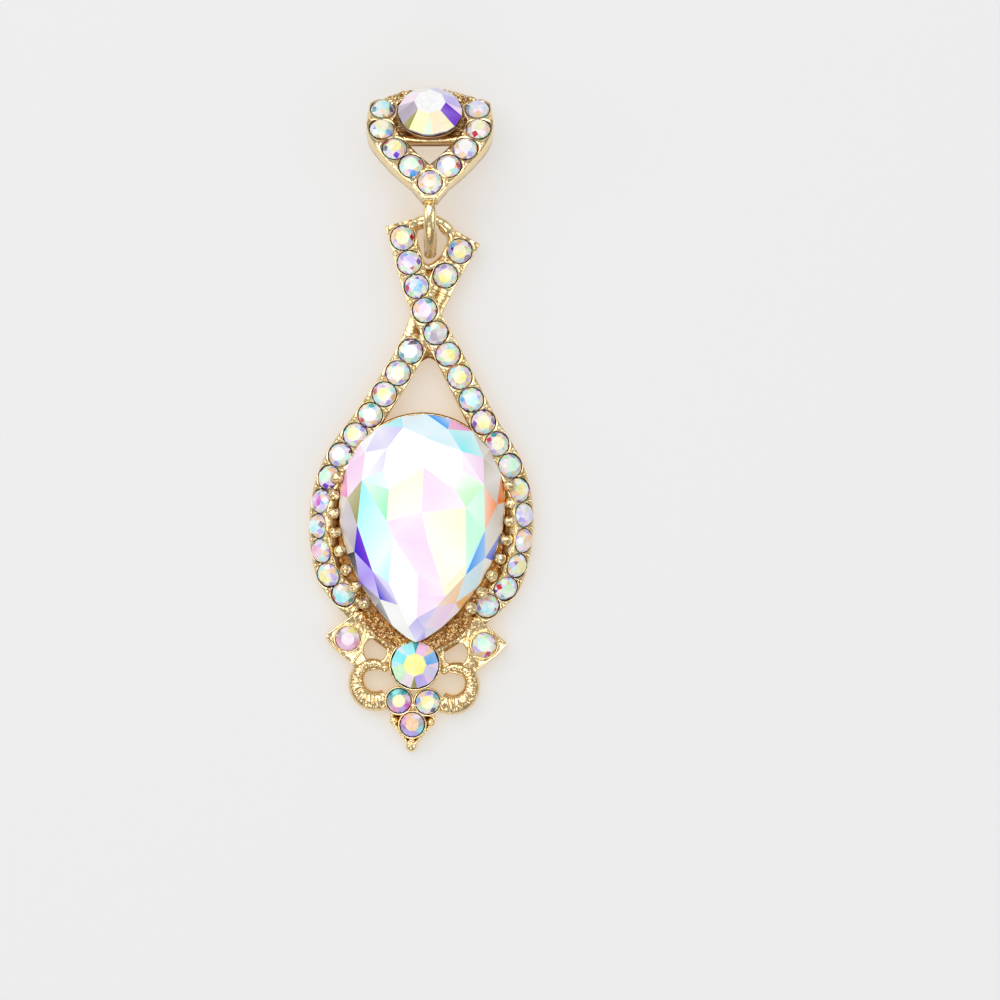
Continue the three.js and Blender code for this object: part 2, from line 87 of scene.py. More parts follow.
# The ring round the bail's hole, from its left foot over the arch: each place with its top's height and width
BAIL_RING = [
    # across, up, top, width
    (-2.6, 32.7, 3.7, 0.8), (-2.1, 33.25, 4.2, 0.95), (-1.26, 33.58, 4.5, 1.0), (-0.35, 33.7, 4.6, 1.0),
    (0.56, 33.42, 4.5, 1.05), (1.3, 32.88, 4.2, 1.15), (1.9, 32.1, 3.7, 1.0), (1.85, 31.2, 3.25, 0.6),
    (1.45, 30.3, 3.1, 0.5), (0.9, 29.4, 3.1, 0.55), (0.2, 28.6, 3.15, 0.7), (-0.55, 28.25, 3.3, 0.75),
    (-1.2, 28.6, 3.5, 0.5), (-1.7, 29.6, 3.6, 0.35), (-2.16, 30.7, 3.5, 0.35), (-2.55, 31.7, 3.5, 0.45),
]
ORNAMENT_HEIGHT = 2.4
SCROLL = SimpleNamespace(below=1.9, hole=1.25, thin=0.9, thick=2.3, swell=0.8, start=125.0, end=-125.0)

ROUND_HOLE = SimpleNamespace(out=4.53, up=-14.92, radius=1.3)
# Corners of the metal round that hole, round by the outside
ROUND_HOLE_CORNERS = [
    (6.5, -13.6), (5.4, -12.7), (3.7, -13.4), (2.3, -14.6), (2.5, -16.2),
    (3.3, -16.9), (5.4, -17.3), (6.9, -17.2), (7.1, -15.5),
]

# Half of the teardrop's ribbon from its foot to the crossing: shares of LOOP_HEIGHT, HALF_SPAN, RIBBON_TOP
# and RIBBON_LEAN
TEARDROP_ROWS = [
    # up, out, top, lean
    (-0.452, 0.575, 0.77, 0.3),
    (-0.389, 0.713, 0.8, 0.4),
    (-0.3, 0.873, 0.86, 0.6),
    (-0.148, 0.974, 0.92, 0.9),
    (-0.04, 1.0, 0.95, 1.0),
    (0.096, 0.974, 0.98, 0.85),
    (0.274, 0.843, 1.0, 0.45),
    (0.474, 0.574, 1.0, 0.1),
    (0.796, 0.2, 1.05, 0.0),
]
# The arms past the crossing: rise is a share of CROSSING_RISE
OVER_ARM_ROWS = [
    # up, out, rise
    (1.0, CROSSING_OUT, 1.0),
    (1.15, -0.165, 0.7),
    (1.265, -0.243, 0.35),
    (1.425, -0.345, 0.1),
]
UNDER_ARM_ROWS = [
    (1.0, CROSSING_OUT, -0.06),
    (1.18, 0.113, -0.1),
    (1.37, 0.313, 0.05),
]
# Runs of stones from the end of each arm: first and last as shares of LOOP_HEIGHT, and the gap between stones
OVER_RUNS = [(0.063, None, 0.17)]
UNDER_RUNS = [(0.063, 0.25, 0.5), (0.609, None, 0.11)]
# A leaf's corners in widths of a small stone, out from and above its own stone
LEAF_CORNERS = [(0.98, 0.09), (0.57, -0.43), (-0.24, -1.06), (-0.65, -0.43), (-0.76, 0.43), (-0.39, 1.17)]

# The tints of coated glass, as seen in soft daylight: on the facets they also paint the foil's reflections,
# with smoke and slate mostly as painted shade
TINTS = {
    "white": (1.0, 1.0, 1.0),
    "cream": (1.0, 0.98, 0.78),
    "lemon": (1.0, 0.97, 0.62),
    "ivory": (1.0, 0.985, 0.87),
    "butter": (1.0, 0.93, 0.78),
    "petal": (1.0, 0.89, 0.985),
    "dew": (0.8, 1.0, 0.88),
    "ice": (0.74, 0.97, 1.0),
    "haze": (0.88, 0.86, 1.0),
    "shell": (1.0, 0.92, 0.97),
    "blush": (1.0, 0.83, 0.96),
    "rose": (0.97, 0.68, 0.84),
    "peach": (1.0, 0.83, 0.66),
    "lilac": (0.77, 0.71, 1.0),
    "mauve": (0.68, 0.56, 0.76),
    "violet": (0.5, 0.27, 0.86),
    "magenta": (0.84, 0.4, 0.84),
    "crimson": (0.84, 0.12, 0.36),
    "amber": (0.98, 0.56, 0.12),
    "gold": (0.9, 0.76, 0.3),
    "olive": (0.66, 0.64, 0.42),
    "aqua": (0.58, 0.97, 1.0),
    "sky": (0.42, 0.72, 1.0),
    "blue": (0.36, 0.5, 0.98),
    "teal": (0.3, 0.68, 0.72),
    "mint": (0.64, 1.0, 0.76),
    "celadon": (0.84, 1.0, 0.84),
    "frost": (0.86, 0.96, 1.0),
    "clear": (0.86, 0.82, 0.77),
    "mist": (0.72, 0.68, 0.74),
    "smoke": (0.46, 0.4, 0.48),
    "slate": (0.27, 0.24, 0.33),
}


def linear(colour):
    """A colour written as it looks, turned into the linear values that shaders take"""
    return np.asarray(colour, float) ** 2.2


def named(words):
    """Linear values of the tints with the given names"""
    return linear([TINTS[word] for word in words.split()])


class Shell:
    """A closed surface: points in millimetres, blocks of equal-sided faces, how much painted shade each point
    takes in the hollows of the casting, and the tint of each face"""

    def __init__(self, points, blocks, recess_shade=0.0, tints=None, smooth=True):
        self.points = np.asarray(points, float)
        self.blocks = blocks
        self.recess_shade = np.broadcast_to(np.asarray(recess_shade, float), (len(self.points),)).copy()
        self.tints = tints
        self.smooth = smooth
        if signed_volume(self.points, self.blocks) < 0:
            self.blocks = [block[:, ::-1] for block in blocks]


def signed_volume(points, blocks):
    """Six times the volume inside the faces, each cut into a fan: the sum of a . (b x c)"""
    middle = points.mean(0)
    points = points - middle
    total = 0.0
    for block in blocks:
        for corner in range(1, block.shape[1] - 1):
            a, b, c = (points[block[:, k]] for k in (0, corner, corner + 1))
            total += np.einsum("ij,ij->", a, np.cross(b, c))
    return total


def grid_quads(rows, columns, wrap_rows=False):
    """Quads between neighbours of a grid whose columns close on themselves"""
    row = np.arange(rows if wrap_rows else rows - 1)[:, None]
    column = np.arange(columns)[None, :]
    below = ((row + 1) % rows) * columns
    beside = (column + 1) % columns
    corners = [row * columns + column, row * columns + beside, below + beside, below + column]
    return np.stack([np.broadcast_to(c, (len(row), columns)) for c in corners], -1).reshape(-1, 4)


def closed_tube(rings, recess_shade=0.0, smooth=True):
    """Rings of points joined in order, with each end closed by a fan to its middle"""
    rows, columns = rings.shape[:2]
    points = np.concatenate([rings.reshape(-1, 3), rings[:1].mean(1), rings[-1:].mean(1)])
    around = np.arange(columns)
    beside = (around + 1) % columns
    first, last = rows * columns, rows * columns + 1
    start = np.stack([np.full(columns, first), beside, around], 1)
    end = np.stack([np.full(columns, last), last - 1 - columns + around, last - 1 - columns + beside], 1)
    if np.ndim(recess_shade) == 2:
        ends = [recess_shade[0].mean(keepdims=True), recess_shade[-1].mean(keepdims=True)]
        recess_shade = np.concatenate([recess_shade.ravel(), *ends])
    return Shell(points, [grid_quads(rows, columns), np.concatenate([start, end])], recess_shade, None, smooth)


def closed_ring(rings, recess_shade=0.0):
    """Rings of points joined in order and back to the first"""
    rows, columns = rings.shape[:2]
    return Shell(rings.reshape(-1, 3), [grid_quads(rows, columns, True)], recess_shade)


def carried(points, across, normal, sections):
    """A profile carried along a path: each point plus its section's first value across and second value up"""
    return (
        points[:, None]
        + sections[..., 0:1] * across[:, None]
        + sections[..., 1:2] * normal[:, None]
    )


def turned(profile, sides=32):
    """A profile of radius and height turned about the vertical: r cos a, r sin a, z"""
    angle = np.arange(sides) * 2 * np.pi / sides
    radius, height = np.asarray(profile, float).T
    rings = np.stack(
        [
            radius[:, None] * np.cos(angle),
            radius[:, None] * np.sin(angle),
            np.broadcast_to(height[:, None], (len(radius), sides)),
        ],
        -1,
    )
    return rings


def ball(radius=1.0, rows=7, columns=12):
    """A sphere of latitudes and longitudes with small flat poles"""
    latitude = np.linspace(0.12, np.pi - 0.12, rows)
    return closed_tube(turned(np.stack([radius * np.sin(latitude), radius * np.cos(latitude)], 1), columns))


def seats(points, normals, along):
    """For each place a 3 x 3 matrix whose columns are its x, y and z: z is the normal, y lies near along"""
    z = normals / np.linalg.norm(normals, axis=-1, keepdims=True)
    x = np.cross(np.broadcast_to(along, z.shape), z)
    x /= np.linalg.norm(x, axis=-1, keepdims=True)
    return np.asarray(points, float), np.stack([x, np.cross(z, x), z], -1)


def repeated(shell, points, matrices=None, scale=1.0):
    """One shell set at many places, each turned by its matrix and made larger by its scale"""
    points = np.asarray(points, float).reshape(-1, 3)
    count = len(points)
    matrices = np.broadcast_to(np.eye(3) if matrices is None else matrices, (count, 3, 3))
    scale = np.broadcast_to(np.asarray(scale, float), (count,))
    own = np.einsum("kij,nj->kni", matrices, shell.points) * scale[:, None, None]
    step = np.arange(count)[:, None, None] * len(shell.points)
    blocks = [(block[None] + step).reshape(-1, block.shape[1]) for block in shell.blocks]
    places = (own + points[:, None]).reshape(-1, 3)
    return Shell(places, blocks, np.tile(shell.recess_shade, count), None, shell.smooth)


def moved(shell, point, matrix=None):
    """A shell turned and set at one place"""
    return repeated(shell, [point], None if matrix is None else matrix[None])


def ripple(points, wave, seed):
    """Soft uneven noise between -1 and 1: the mean of six sine waves in seeded directions"""
    generator = np.random.default_rng(seed)
    directions = generator.normal(size=(6, 3))
    directions /= np.linalg.norm(directions, axis=1, keepdims=True)
    phases = generator.uniform(0, 2 * np.pi, 6)
    lengths = wave * generator.uniform(0.7, 1.4, 6)
    return np.mean(np.sin(points @ (directions / lengths[:, None]).T * 2 * np.pi + phases), -1)


def smooth_line(points, count, closed_up=None):
    """A centripetal curve through the points, at even steps of length: positions, directions and the share of
    the rows that each has passed"""
    points = np.asarray(points, float)
    before = 2 * points[0] - points[1]
    after = 2 * points[-1] - points[-2]
    knots = np.concatenate([before[None], points, after[None]])
    steps = np.linalg.norm(np.diff(knots, axis=0), axis=1) ** 0.5
    share = np.linspace(0, 1, 160, endpoint=False)[:, None]
    curve = []
    for k in range(len(points) - 1):
        a, b, c, d = knots[k : k + 4]
        e, f, g = steps[k : k + 3]
        leave = ((b - a) / e - (c - a) / (e + f) + (c - b) / f) * f
        arrive = ((c - b) / f - (d - b) / (f + g) + (d - c) / g) * f
        curve.append(
            b + leave * share + (3 * (c - b) - 2 * leave - arrive) * share**2
            + (2 * (b - c) + leave + arrive) * share**3
        )
    curve = np.concatenate([*curve, points[-1:]])
    passed = np.append(np.arange(len(curve) - 1) / 160, len(points) - 1)
    length = np.append(0, np.cumsum(np.linalg.norm(np.diff(curve, axis=0), axis=1)))
    wanted = np.linspace(0, length[-1], count)
    even = np.stack([np.interp(wanted, length, curve[:, k]) for k in range(curve.shape[1])], 1)
    heading = np.gradient(even, axis=0)
    heading /= np.linalg.norm(heading, axis=1, keepdims=True)
    return SimpleNamespace(
        points=even, heading=heading, passed=np.interp(wanted, length, passed), length=wanted
    )


def squared(normals, heading):
    """Normals made square to the heading"""
    normals = normals - np.sum(normals * heading, -1, keepdims=True) * heading
    return normals / np.linalg.norm(normals, axis=-1, keepdims=True)


def upright_line(points, count):
    """A smooth line with normals that stay as upright as they can"""
    line = smooth_line(points, count)
    line.normal = squared(np.broadcast_to([0.0, 0.0, 1.0], line.points.shape), line.heading)
    line.across = np.cross(line.heading, line.normal)
    return line


def at_length(line, length):
    """Position, normal and heading of a line at given lengths"""
    pick = lambda values: np.stack([np.interp(length, line.length, values[:, k]) for k in range(3)], -1)
    return pick(line.points), pick(line.normal), pick(line.heading)


# Where the frame puts things
def drop_shift():
    """How far the drop's own frame lies from the part's: the large stone's middle is at PEAR.centre"""
    low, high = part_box("pear_stone")
    middle = (np.array(low) + np.array(high)) / 2 / MM
    return np.array([middle[0], middle[1] - PEAR.centre, 0.0])


def stone_seat(node, crown, pavilion):
    """A round stone's girdle middle and axes, from its solid: its axis is the direction in which its points
    spread least"""
    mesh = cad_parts[node].data
    points = np.zeros(len(mesh.vertices) * 3)
    mesh.vertices.foreach_get("co", points)
    points = np.unique(np.round(points.reshape(-1, 3) / MM, 5), axis=0)
    middle = points.mean(0)
    axis = np.linalg.eigh(np.cov((points - middle).T))[1][:, 0]
    axis *= np.sign(axis[2])
    heights = (points - middle) @ axis
    lowest = heights.min()
    foot = middle + axis * lowest
    across = points[heights < lowest + 0.01].mean(0)
    foot += (across - foot) - axis * ((across - foot) @ axis)
    return foot + axis * pavilion, axis


def pear_outline(angle, grow=0.0):
    """The pear's outline: a sine narrowed towards the point, x = a sin t sqrt(sin t/2), y = -b cos t"""
    widest = np.arccos(-0.2)
    shape = lambda t: np.sin(t) * np.abs(np.sin(t / 2)) ** 0.5
    across = (PEAR.width / 2 + grow) * shape(angle) / shape(widest)
    along = PEAR.centre - np.cos(angle) * (PEAR.length / 2 + grow)
    return np.stack(np.broadcast_arrays(across, along), -1)


def ribbon_line(side, arm_rows, count=620):
    """The line of one ribbon's stones from its foot to the end of its arm, with normals that lean out"""
    lower = [
        (side * out * HALF_SPAN, up * LOOP_HEIGHT, top * RIBBON_TOP)
        for up, out, top, _ in TEARDROP_ROWS
    ]
    arm = [
        (out * HALF_SPAN, up * LOOP_HEIGHT, RIBBON_TOP + rise * CROSSING_RISE)
        for up, out, rise in arm_rows
    ]
    line = smooth_line(lower + arm, count)
    leans = [row[3] for row in TEARDROP_ROWS] + [0.0] * len(arm_rows)
    lean = np.radians(np.interp(line.passed, np.arange(len(leans)), leans) * RIBBON_LEAN)[:, None]
    outward = np.stack([side * line.heading[:, 1], -side * line.heading[:, 0], np.zeros(count)], 1)
    outward /= np.linalg.norm(outward, axis=1, keepdims=True)
    line.normal = squared(np.cos(lean) * [0.0, 0.0, 1.0] + np.sin(lean) * outward, line.heading)
    line.across = np.cross(line.heading, line.normal)
    line.outward = outward
    line.side = side
    line.stop = line.length[-1]
    beyond = np.arange(1, 9) / 8 * END_RIM
    line.points = np.concatenate([line.points, line.points[-1] + beyond[:, None] * line.heading[-1]])
    line.length = np.append(line.length, line.stop + beyond)
    for name in ("normal", "across", "heading", "outward"):
        values = getattr(line, name)
        setattr(line, name, np.concatenate([values, np.repeat(values[-1:], 8, axis=0)]))
    return line


def run_places(line, runs, sizes):
    """Lengths along a ribbon at which its stones sit, counted from the end of its arm"""
    total = line.stop
    places = []
    for first, last, space in runs:
        start = first * LOOP_HEIGHT
        stop = total - sizes.ribbon_width / 2 if last is None else last * LOOP_HEIGHT
        places.append(total - np.arange(start, stop, sizes.small_stone + space))
    return np.concatenate(places)


def channel(line, places, width, thickness, sizes, outer=1, taper=None):
    """A strip with a round pocket for each stone: at a distance d from a stone's middle the pocket's half
    width is the root of its radius squared less d squared, and its floor rises to the rim where it closes"""
    radius = sizes.small_stone / 2 + POCKET_GAP
    away = np.min(np.abs(line.length[:, None] - places[None]), axis=1)
    pocket = np.sqrt(np.maximum(radius**2 - away**2, 0))
    half = np.full_like(pocket, width / 2) if taper is None else width / 2 * taper
    half = half + 0.03 * ripple(line.points, 1.3, 3)
    rim = sizes.rim + 0.03 * ripple(line.points, 1.1, 5)
    pocket = np.minimum(pocket, half - 0.1)
    open_share = np.clip(pocket / 0.7, 0, 1)
    floor = rim - 0.1 - 0.55 * open_share
    zero = np.zeros_like(pocket)
    # Third values are painted shade: dark in the pocket under each stone, none on the rim, a little on the walls
    side = [
        (pocket * 0.7, floor, 1.6),
        (pocket * 0.97, floor + 0.08, 1.8),
        (pocket, rim - 0.12, 1.5),
        (pocket + 0.04, rim, 0.2),
        (half - 0.06, rim + 0.01, 0.0),
        (half, rim - 0.09, 0.0),
        (half + 0.03, zero - thickness * 0.5, 0.1),
        (half - 0.02, zero - thickness + 0.22, 0.2),
        (half - 0.2, zero - thickness, 0.3),
    ]
    middle_top = [(zero, floor, 1.6)]
    middle_low = [(zero, zero - thickness, 0.3)]
    inner = side[:6] + [(across, up, max(dark, INNER_WALL_SHADE)) for across, up, dark in side[6:]]
    mirrored = [(-across, up, dark) for across, up, dark in reversed(inner)]
    columns = middle_top + side + middle_low + mirrored
    sections = np.stack([np.stack([across, up + zero], -1) for across, up, _ in columns], 1)
    places = carried(line.points, line.across, line.normal, sections)
    uncut = np.clip((away - radius) / 0.4, 0, 1)[:, None] * (sections[..., 1] > -0.5)
    grain = uncut * (ripple(places, 0.5, 31) + 0.8 * ripple(places, 0.27, 32))
    sections[..., 1] += 0.06 * grain
    sections[..., 0] *= outer
    darkness = np.array([dark for *_, dark in columns])[None] * np.where(
        np.arange(len(columns)) % (len(columns) - 1) < 4, open_share[:, None], 1.0
    )
    rings = carried(line.points, line.across, line.normal, sections)
    # Painted shade, more where no pocket cuts the strip and in the hollows of its grain
    return closed_tube(rings, np.clip(darkness + 0.3 * uncut - 0.3 * grain, 0, 2))


def prong_beads(line, places, width, sizes):
    """Small beads on both rims wherever two stones are neighbours, and at both ends of each run"""
    places = np.sort(places)
    gaps = np.diff(places)
    near = gaps < sizes.small_stone * 1.3
    between = ((places[1:] + places[:-1]) / 2)[near]
    point, normal, heading = at_length(line, between)
    across = np.cross(heading, normal)
    reach = width / 2 - sizes.prong - 0.02
    both = np.concatenate([point + across * reach, point - across * reach])
    rise = np.concatenate([normal, normal]) * (sizes.rim - 0.02)
    generator = np.random.default_rng(len(places))
    return repeated(ball(sizes.prong, 7, 11), both + rise, None, generator.uniform(0.8, 1.1, len(both)))


def brilliant(width, crown, pavilion, table_share=0.58):
    """A round brilliant: a table, then rings of stars, kites and girdle facets above, mains below.
    Rings lie at shares of the radius and the crown chosen so that each kite is flat."""
    radius = width / 2
    eighth = np.arange(8) * np.pi / 4
    sixteenth = np.arange(16) * np.pi / 8
    ring = lambda share, angle, height: np.stack(
        [radius * share * np.cos(angle), radius * share * np.sin(angle), np.full(len(angle), height)], 1
    )
    points = np.concatenate(
        [
            ring(0, eighth[:1], crown),
            ring(table_share, eighth, crown),
            ring(0.45 * table_share + 0.55, eighth + np.pi / 8, 0.62 * crown),
            ring(1, sixteenth, 0.09 * crown),
            ring(1, sixteenth, -0.07 * crown),
            ring(0, eighth[:1], -pavilion),
        ]
    )
    k = np.arange(8)
    n = (k + 1) % 8
    g = np.arange(16)
    table, middle, upper, lower, culet = 1, 9, 17, 33, 49
    fan = np.stack([np.zeros(8, int), table + k, table + n], 1)
    star = np.stack([table + k, middle + k, table + n], 1)
    kite = np.stack([table + n, middle + k, upper + 2 * n, middle + n], 1)
    left = np.stack([middle + k, upper + 2 * k, upper + 2 * k + 1], 1)
    right = np.stack([middle + k, upper + 2 * k + 1, upper + (2 * k + 2) % 16], 1)
    band = np.stack([upper + g, lower + g, lower + (g + 1) % 16, upper + (g + 1) % 16], 1)
    main = np.stack([np.full(16, culet), lower + (g + 1) % 16, lower + g], 1)
    return Shell(points, [fan, star, kite, left, right, band, main], 0.0, None, False)


def stone_tints(tables, generator, accents=0.14):
    """Tints for many brilliants with the given tables: a table pales towards one side as a painted highlight, the
    rim facets run through the coating's colours round the stone, turned by chance, with the facets by the girdle
    a little darker as painted shade, a few facets flash strongly as painted glints, and the girdle band and
    pavilion are smoke as painted shade"""
    count = len(tables)
    wheel = named("lilac shell ivory ice white celadon peach petal")
    # Painted glints: strong tints that a few facets flash
    flash = named("violet teal sky smoke peach crimson")
    start = generator.uniform(0, 8, count)
    steps = generator.uniform(0.6, 2.2, count) * generator.choice([-1, 1], count)

    def around(number, offset, bright, chance=accents):
        at = (start[:, None] + offset + steps[:, None] * np.arange(number)[None] * 8 / number) % 8
        colour = wheel[np.floor(at).astype(int) % 8]
        hit = generator.uniform(size=(count, number)) < chance
        colour = np.where(hit[..., None], flash[generator.integers(0, 6, (count, number))], colour)
        shade = bright * generator.uniform(0.84, 1.08, (count, number))
        return np.clip(colour * shade[..., None], 0, 0.98)

    eighth = np.arange(8) * np.pi / 4
    # Painted highlight: each table paler towards one side chosen by chance
    pale = 0.3 + 0.3 * np.cos(eighth[None] - generator.uniform(0, 2 * np.pi, (count, 1)))
    table = linear([TINTS[name] for name in tables])[:, None]
    table = table * (1 - pale[..., None]) + pale[..., None] * [1.0, 0.98, 0.94]
    # Painted shade on the girdle band and the pavilion
    dark = np.broadcast_to(linear(TINTS["smoke"]), (count, 16, 3))
    # The facets by the girdle are painted a little darker as shade
    parts = [
        table * generator.uniform(0.93, 1.0, (count, 8, 1)),
        around(8, 1.5, 1.0, accents * 0.4),
        around(8, 0, 1.0),
        around(8, 3, 0.9, accents * 0.6),
        around(8, 4, 0.84, accents * 0.6),
        dark,
        dark * 0.8,
    ]
    return [np.clip(part, 0, 0.98).reshape(-1, 3) for part in parts]


def chaton(width, crown, pavilion, table_share):
    """A round cut of eight mains: a table, a main below each of its edges, a narrow break below each corner,
    a thin girdle and mains below"""
    radius = width / 2
    eighth = np.arange(8) * np.pi / 4
    rim = (eighth[:, None] + np.radians([-8.0, 8.0])).ravel()
    ring = lambda share, angle, height: np.stack(
        [radius * share * np.cos(angle), radius * share * np.sin(angle), np.full(len(angle), height)], 1
    )
    points = np.concatenate(
        [
            ring(0, eighth[:1], crown), ring(table_share, eighth, crown),
            ring(1, rim, 0.09 * crown), ring(1, rim, -0.07 * crown), ring(0, eighth[:1], -pavilion),
        ]
    )
    table, upper, lower, culet = 1, 9, 25, 41
    k = np.arange(8)
    n = (k + 1) % 8
    g = np.arange(16)
    fan = np.stack([np.zeros(8, int), table + k, table + n], 1)
    corner = np.stack([table + k, upper + 2 * k, upper + 2 * k + 1], 1)
    main = np.stack([table + k, upper + 2 * k + 1, upper + 2 * n, table + n], 1)
    band = np.stack([upper + g, lower + g, lower + (g + 1) % 16, upper + (g + 1) % 16], 1)
    below = np.stack([np.full(16, culet), lower + (g + 1) % 16, lower + g], 1)
    return Shell(points, [fan, corner, main, band, below], 0.0, None, False)


def chaton_tints(table, mains, corners):
    """Tints of one chaton: mains and corners are counted from the right of the foot round by the right; its
    girdle band and pavilion are smoke, painted shade
    """
    main = np.roll(named(mains), -2, axis=0)
    corner = np.roll(named(corners), -1, axis=0)
    # Painted shade on the girdle band and the pavilion
    dark = np.repeat(linear([TINTS["smoke"]]), 16, axis=0)
    return [np.repeat(linear([TINTS[table]]), 8, axis=0), corner, main, dark, dark]


# Tints of the large round stones: the table, the mains from the right of the foot, the corners from the foot
CHATON_TINTS = {
    "solitaire_stone": (
        "white", "butter violet lilac haze white shell mist lemon",
        "cream petal haze frost white mist olive celadon",
    ),
    "accent_stone": (
        "lemon", "lilac haze sky blush aqua aqua celadon shell",
        "blush petal peach teal frost ice celadon olive",
    ),
}
# Tints of some small stones: the table, then the eight kites from the foot round by the right
CUT_TINTS = {
    "cluster_stone_left": ("cream", "lilac magenta blush teal aqua teal mist rose"),
    "cluster_stone_low": ("peach", "lilac aqua mist shell peach rose mauve lilac"),
    "leaf_stone_left": ("shell", "blush rose shell lemon shell mist rose blush"),
}
# Tables of the stones of each ribbon, from the end of its arm, and of the single small stones
OVER_TABLES = (
    "lemon lilac sky blush mist lemon lemon ice lemon cream "
    "dew lemon haze peach lemon celadon ice lemon cream"
).split()
UNDER_TABLES = (
    "lemon lemon white cream lemon shell lemon white dew magenta ice rose lemon aqua lemon cream lemon"
).split()
SINGLE_TABLES = {
    "stud_stone_bottom": "peach", "stud_stone_low_left": "celadon", "stud_stone_low_right": "white",
    "stud_stone_lower_left": "lemon", "stud_stone_lower_right": "white", "stud_stone_mid_left": "cream",
    "stud_stone_mid_right": "cream", "stud_stone_top_left": "ice", "stud_stone_top_right": "haze",
    "leaf_stone_right": "dew", "cluster_stone_right": "lemon",
}


def named_tints(names):
    """Tints of one brilliant whose foot lies at its own -y: stars and girdle facets take after their mains, and
    its girdle band and pavilion are slate as painted shade
    """
    table, mains = names
    generator = np.random.default_rng(len(mains))
    main = np.roll(named(mains), -2, axis=0)
    star = np.clip(0.5 * main + 0.5 * np.roll(main, -1, axis=0), 0, 0.98)

    def shade(colour, low, high):
        return np.clip(colour * generator.uniform(low, high, (len(colour), 1)), 0, 0.98)

    return [
        shade(np.repeat(linear([TINTS[table]]), 8, axis=0), 0.93, 1.0),
        shade(star, 0.75, 1.0),
        shade(np.roll(main, -1, axis=0), 0.9, 1.0),
        shade(star, 0.8, 1.0),
        shade(np.roll(main, -1, axis=0), 0.8, 1.0),
        # Painted shade on the girdle band and the pavilion
        shade(np.repeat(linear([TINTS["slate"]]), 16, axis=0), 0.8, 1.0),
        shade(np.repeat(linear([TINTS["slate"]]), 16, axis=0), 0.8, 1.0),
    ]


def set_stones(points, matrices, tables, width, crown, pavilion, seed, turns=None, table_share=0.58):
    """Brilliants at many seats with the named tables, each turned about its own axis by chance"""
    generator = np.random.default_rng(seed)
    count = len(points)
    turn = generator.uniform(0, np.pi / 4, count) if turns is None else np.asarray(turns, float)
    spin = np.zeros((count, 3, 3))
    spin[:, 0, 0] = spin[:, 1, 1] = np.cos(turn)
    spin[:, 0, 1] = -np.sin(turn)
    spin[:, 1, 0] = np.sin(turn)
    spin[:, 2, 2] = 1
    shell = repeated(brilliant(width, crown, pavilion, table_share), points, matrices @ spin)
    shell.tints = stone_tints(tables, generator)
    return shell


# Making pieces
def make_piece(name, shells, materials, node_names, shift=(0, 0, 0), fades=(0.72, 1.2)):
    """One mesh of the shells, with the painted shade of hollows on its points and the tint on its corners, riding
    the body
    """
    points = np.concatenate([shell.points for shell in shells]) + shift
    starts = np.cumsum([0] + [len(shell.points) for shell in shells])
    corners, totals, tints, smooth = [], [], [], []
    generator = np.random.default_rng(len(points))
    for shell, start in zip(shells, starts):
        for k, block in enumerate(shell.blocks):
            number, sides = block.shape
            corners.append(block.ravel() + start)
            totals.append(np.full(number, sides))
            tint = np.ones((number, 3)) if shell.tints is None else shell.tints[k]
            fade = generator.uniform(*fades, (number * sides, 1))
            tints.append(np.clip(1 - (1 - np.repeat(tint, sides, axis=0)) * fade, 0, 1))
            smooth.append(np.full(number, shell.smooth))
    corners, totals, tints, smooth = (np.concatenate(part) for part in (corners, totals, tints, smooth))
    mesh = bpy.data.meshes.new(name)
    mesh.vertices.add(len(points))
    mesh.vertices.foreach_set("co", (points * MM).astype(np.float32).ravel())
    mesh.loops.add(len(corners))
    mesh.loops.foreach_set("vertex_index", corners.astype(np.int32))
    mesh.polygons.add(len(totals))
    mesh.polygons.foreach_set("loop_start", np.append(0, np.cumsum(totals)[:-1]).astype(np.int32))
    mesh.polygons.foreach_set("use_smooth", smooth)
    mesh.update(calc_edges=True)
    mesh.attributes.new("recess_shade", "FLOAT", "POINT")
    recess_shade = np.concatenate([shell.recess_shade for shell in shells]).astype(np.float32)
    mesh.attributes["recess_shade"].data.foreach_set("value", recess_shade)
    mesh.color_attributes.new("tint", "FLOAT_COLOR", "CORNER")
    rgba = np.concatenate([tints, np.ones((len(tints), 1))], 1).astype(np.float32)
    mesh.color_attributes["tint"].data.foreach_set("color", rgba.ravel())
    if mesh.validate():
        raise RuntimeError(f"{name} has faces that Blender had to mend")
    for material in materials:
        mesh.materials.append(material)
    piece = bpy.data.objects.new(name, mesh)
    bpy.context.scene.collection.objects.link(piece)
    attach(piece, "root")
    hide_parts(*node_names)
    return piece


def node_tree(name):
    """A new material's nodes and links, with its main shader"""
    material = bpy.data.materials.new(name)
    material.use_nodes = True
    nodes = material.node_tree.nodes
    return material, nodes, material.node_tree.links, nodes["Principled BSDF"]


def mixed(nodes, links, factor, low, high, kind="MIX"):
    """A colour mix node whose inputs are sockets or plain colours"""
    mix = nodes.new("ShaderNodeMix")
    mix.data_type = "RGBA"
    mix.blend_type = kind
    for socket, value in ((mix.inputs["Factor"], factor), (mix.inputs["A"], low), (mix.inputs["B"], high)):
        if isinstance(value, bpy.types.NodeSocket):
            links.new(value, socket)
        elif np.ndim(value) == 0:
            socket.default_value = value
        else:
            socket.default_value = (*value, 1.0)
    return mix.outputs["Result"]


def ranged(nodes, links, value, low, high, to_low, to_high):
    """A value carried from one range to another, held at its ends"""
    node = nodes.new("ShaderNodeMapRange")
    links.new(value, node.inputs["Value"])
    for name, number in (("From Min", low), ("From Max", high), ("To Min", to_low), ("To Max", to_high)):
        node.inputs[name].default_value = number
    return node.outputs["Result"]


def noise(nodes, links, scale, detail=3.0, roughness=0.5):
    """Noise over the object's own coordinates"""
    place = nodes.new("ShaderNodeTexCoord")
    node = nodes.new("ShaderNodeTexNoise")
    node.inputs["Scale"].default_value = scale
    node.inputs["Detail"].default_value = detail
    node.inputs["Roughness"].default_value = roughness
    links.new(place.outputs["Object"], node.inputs["Vector"])
    return node.outputs["Fac"]


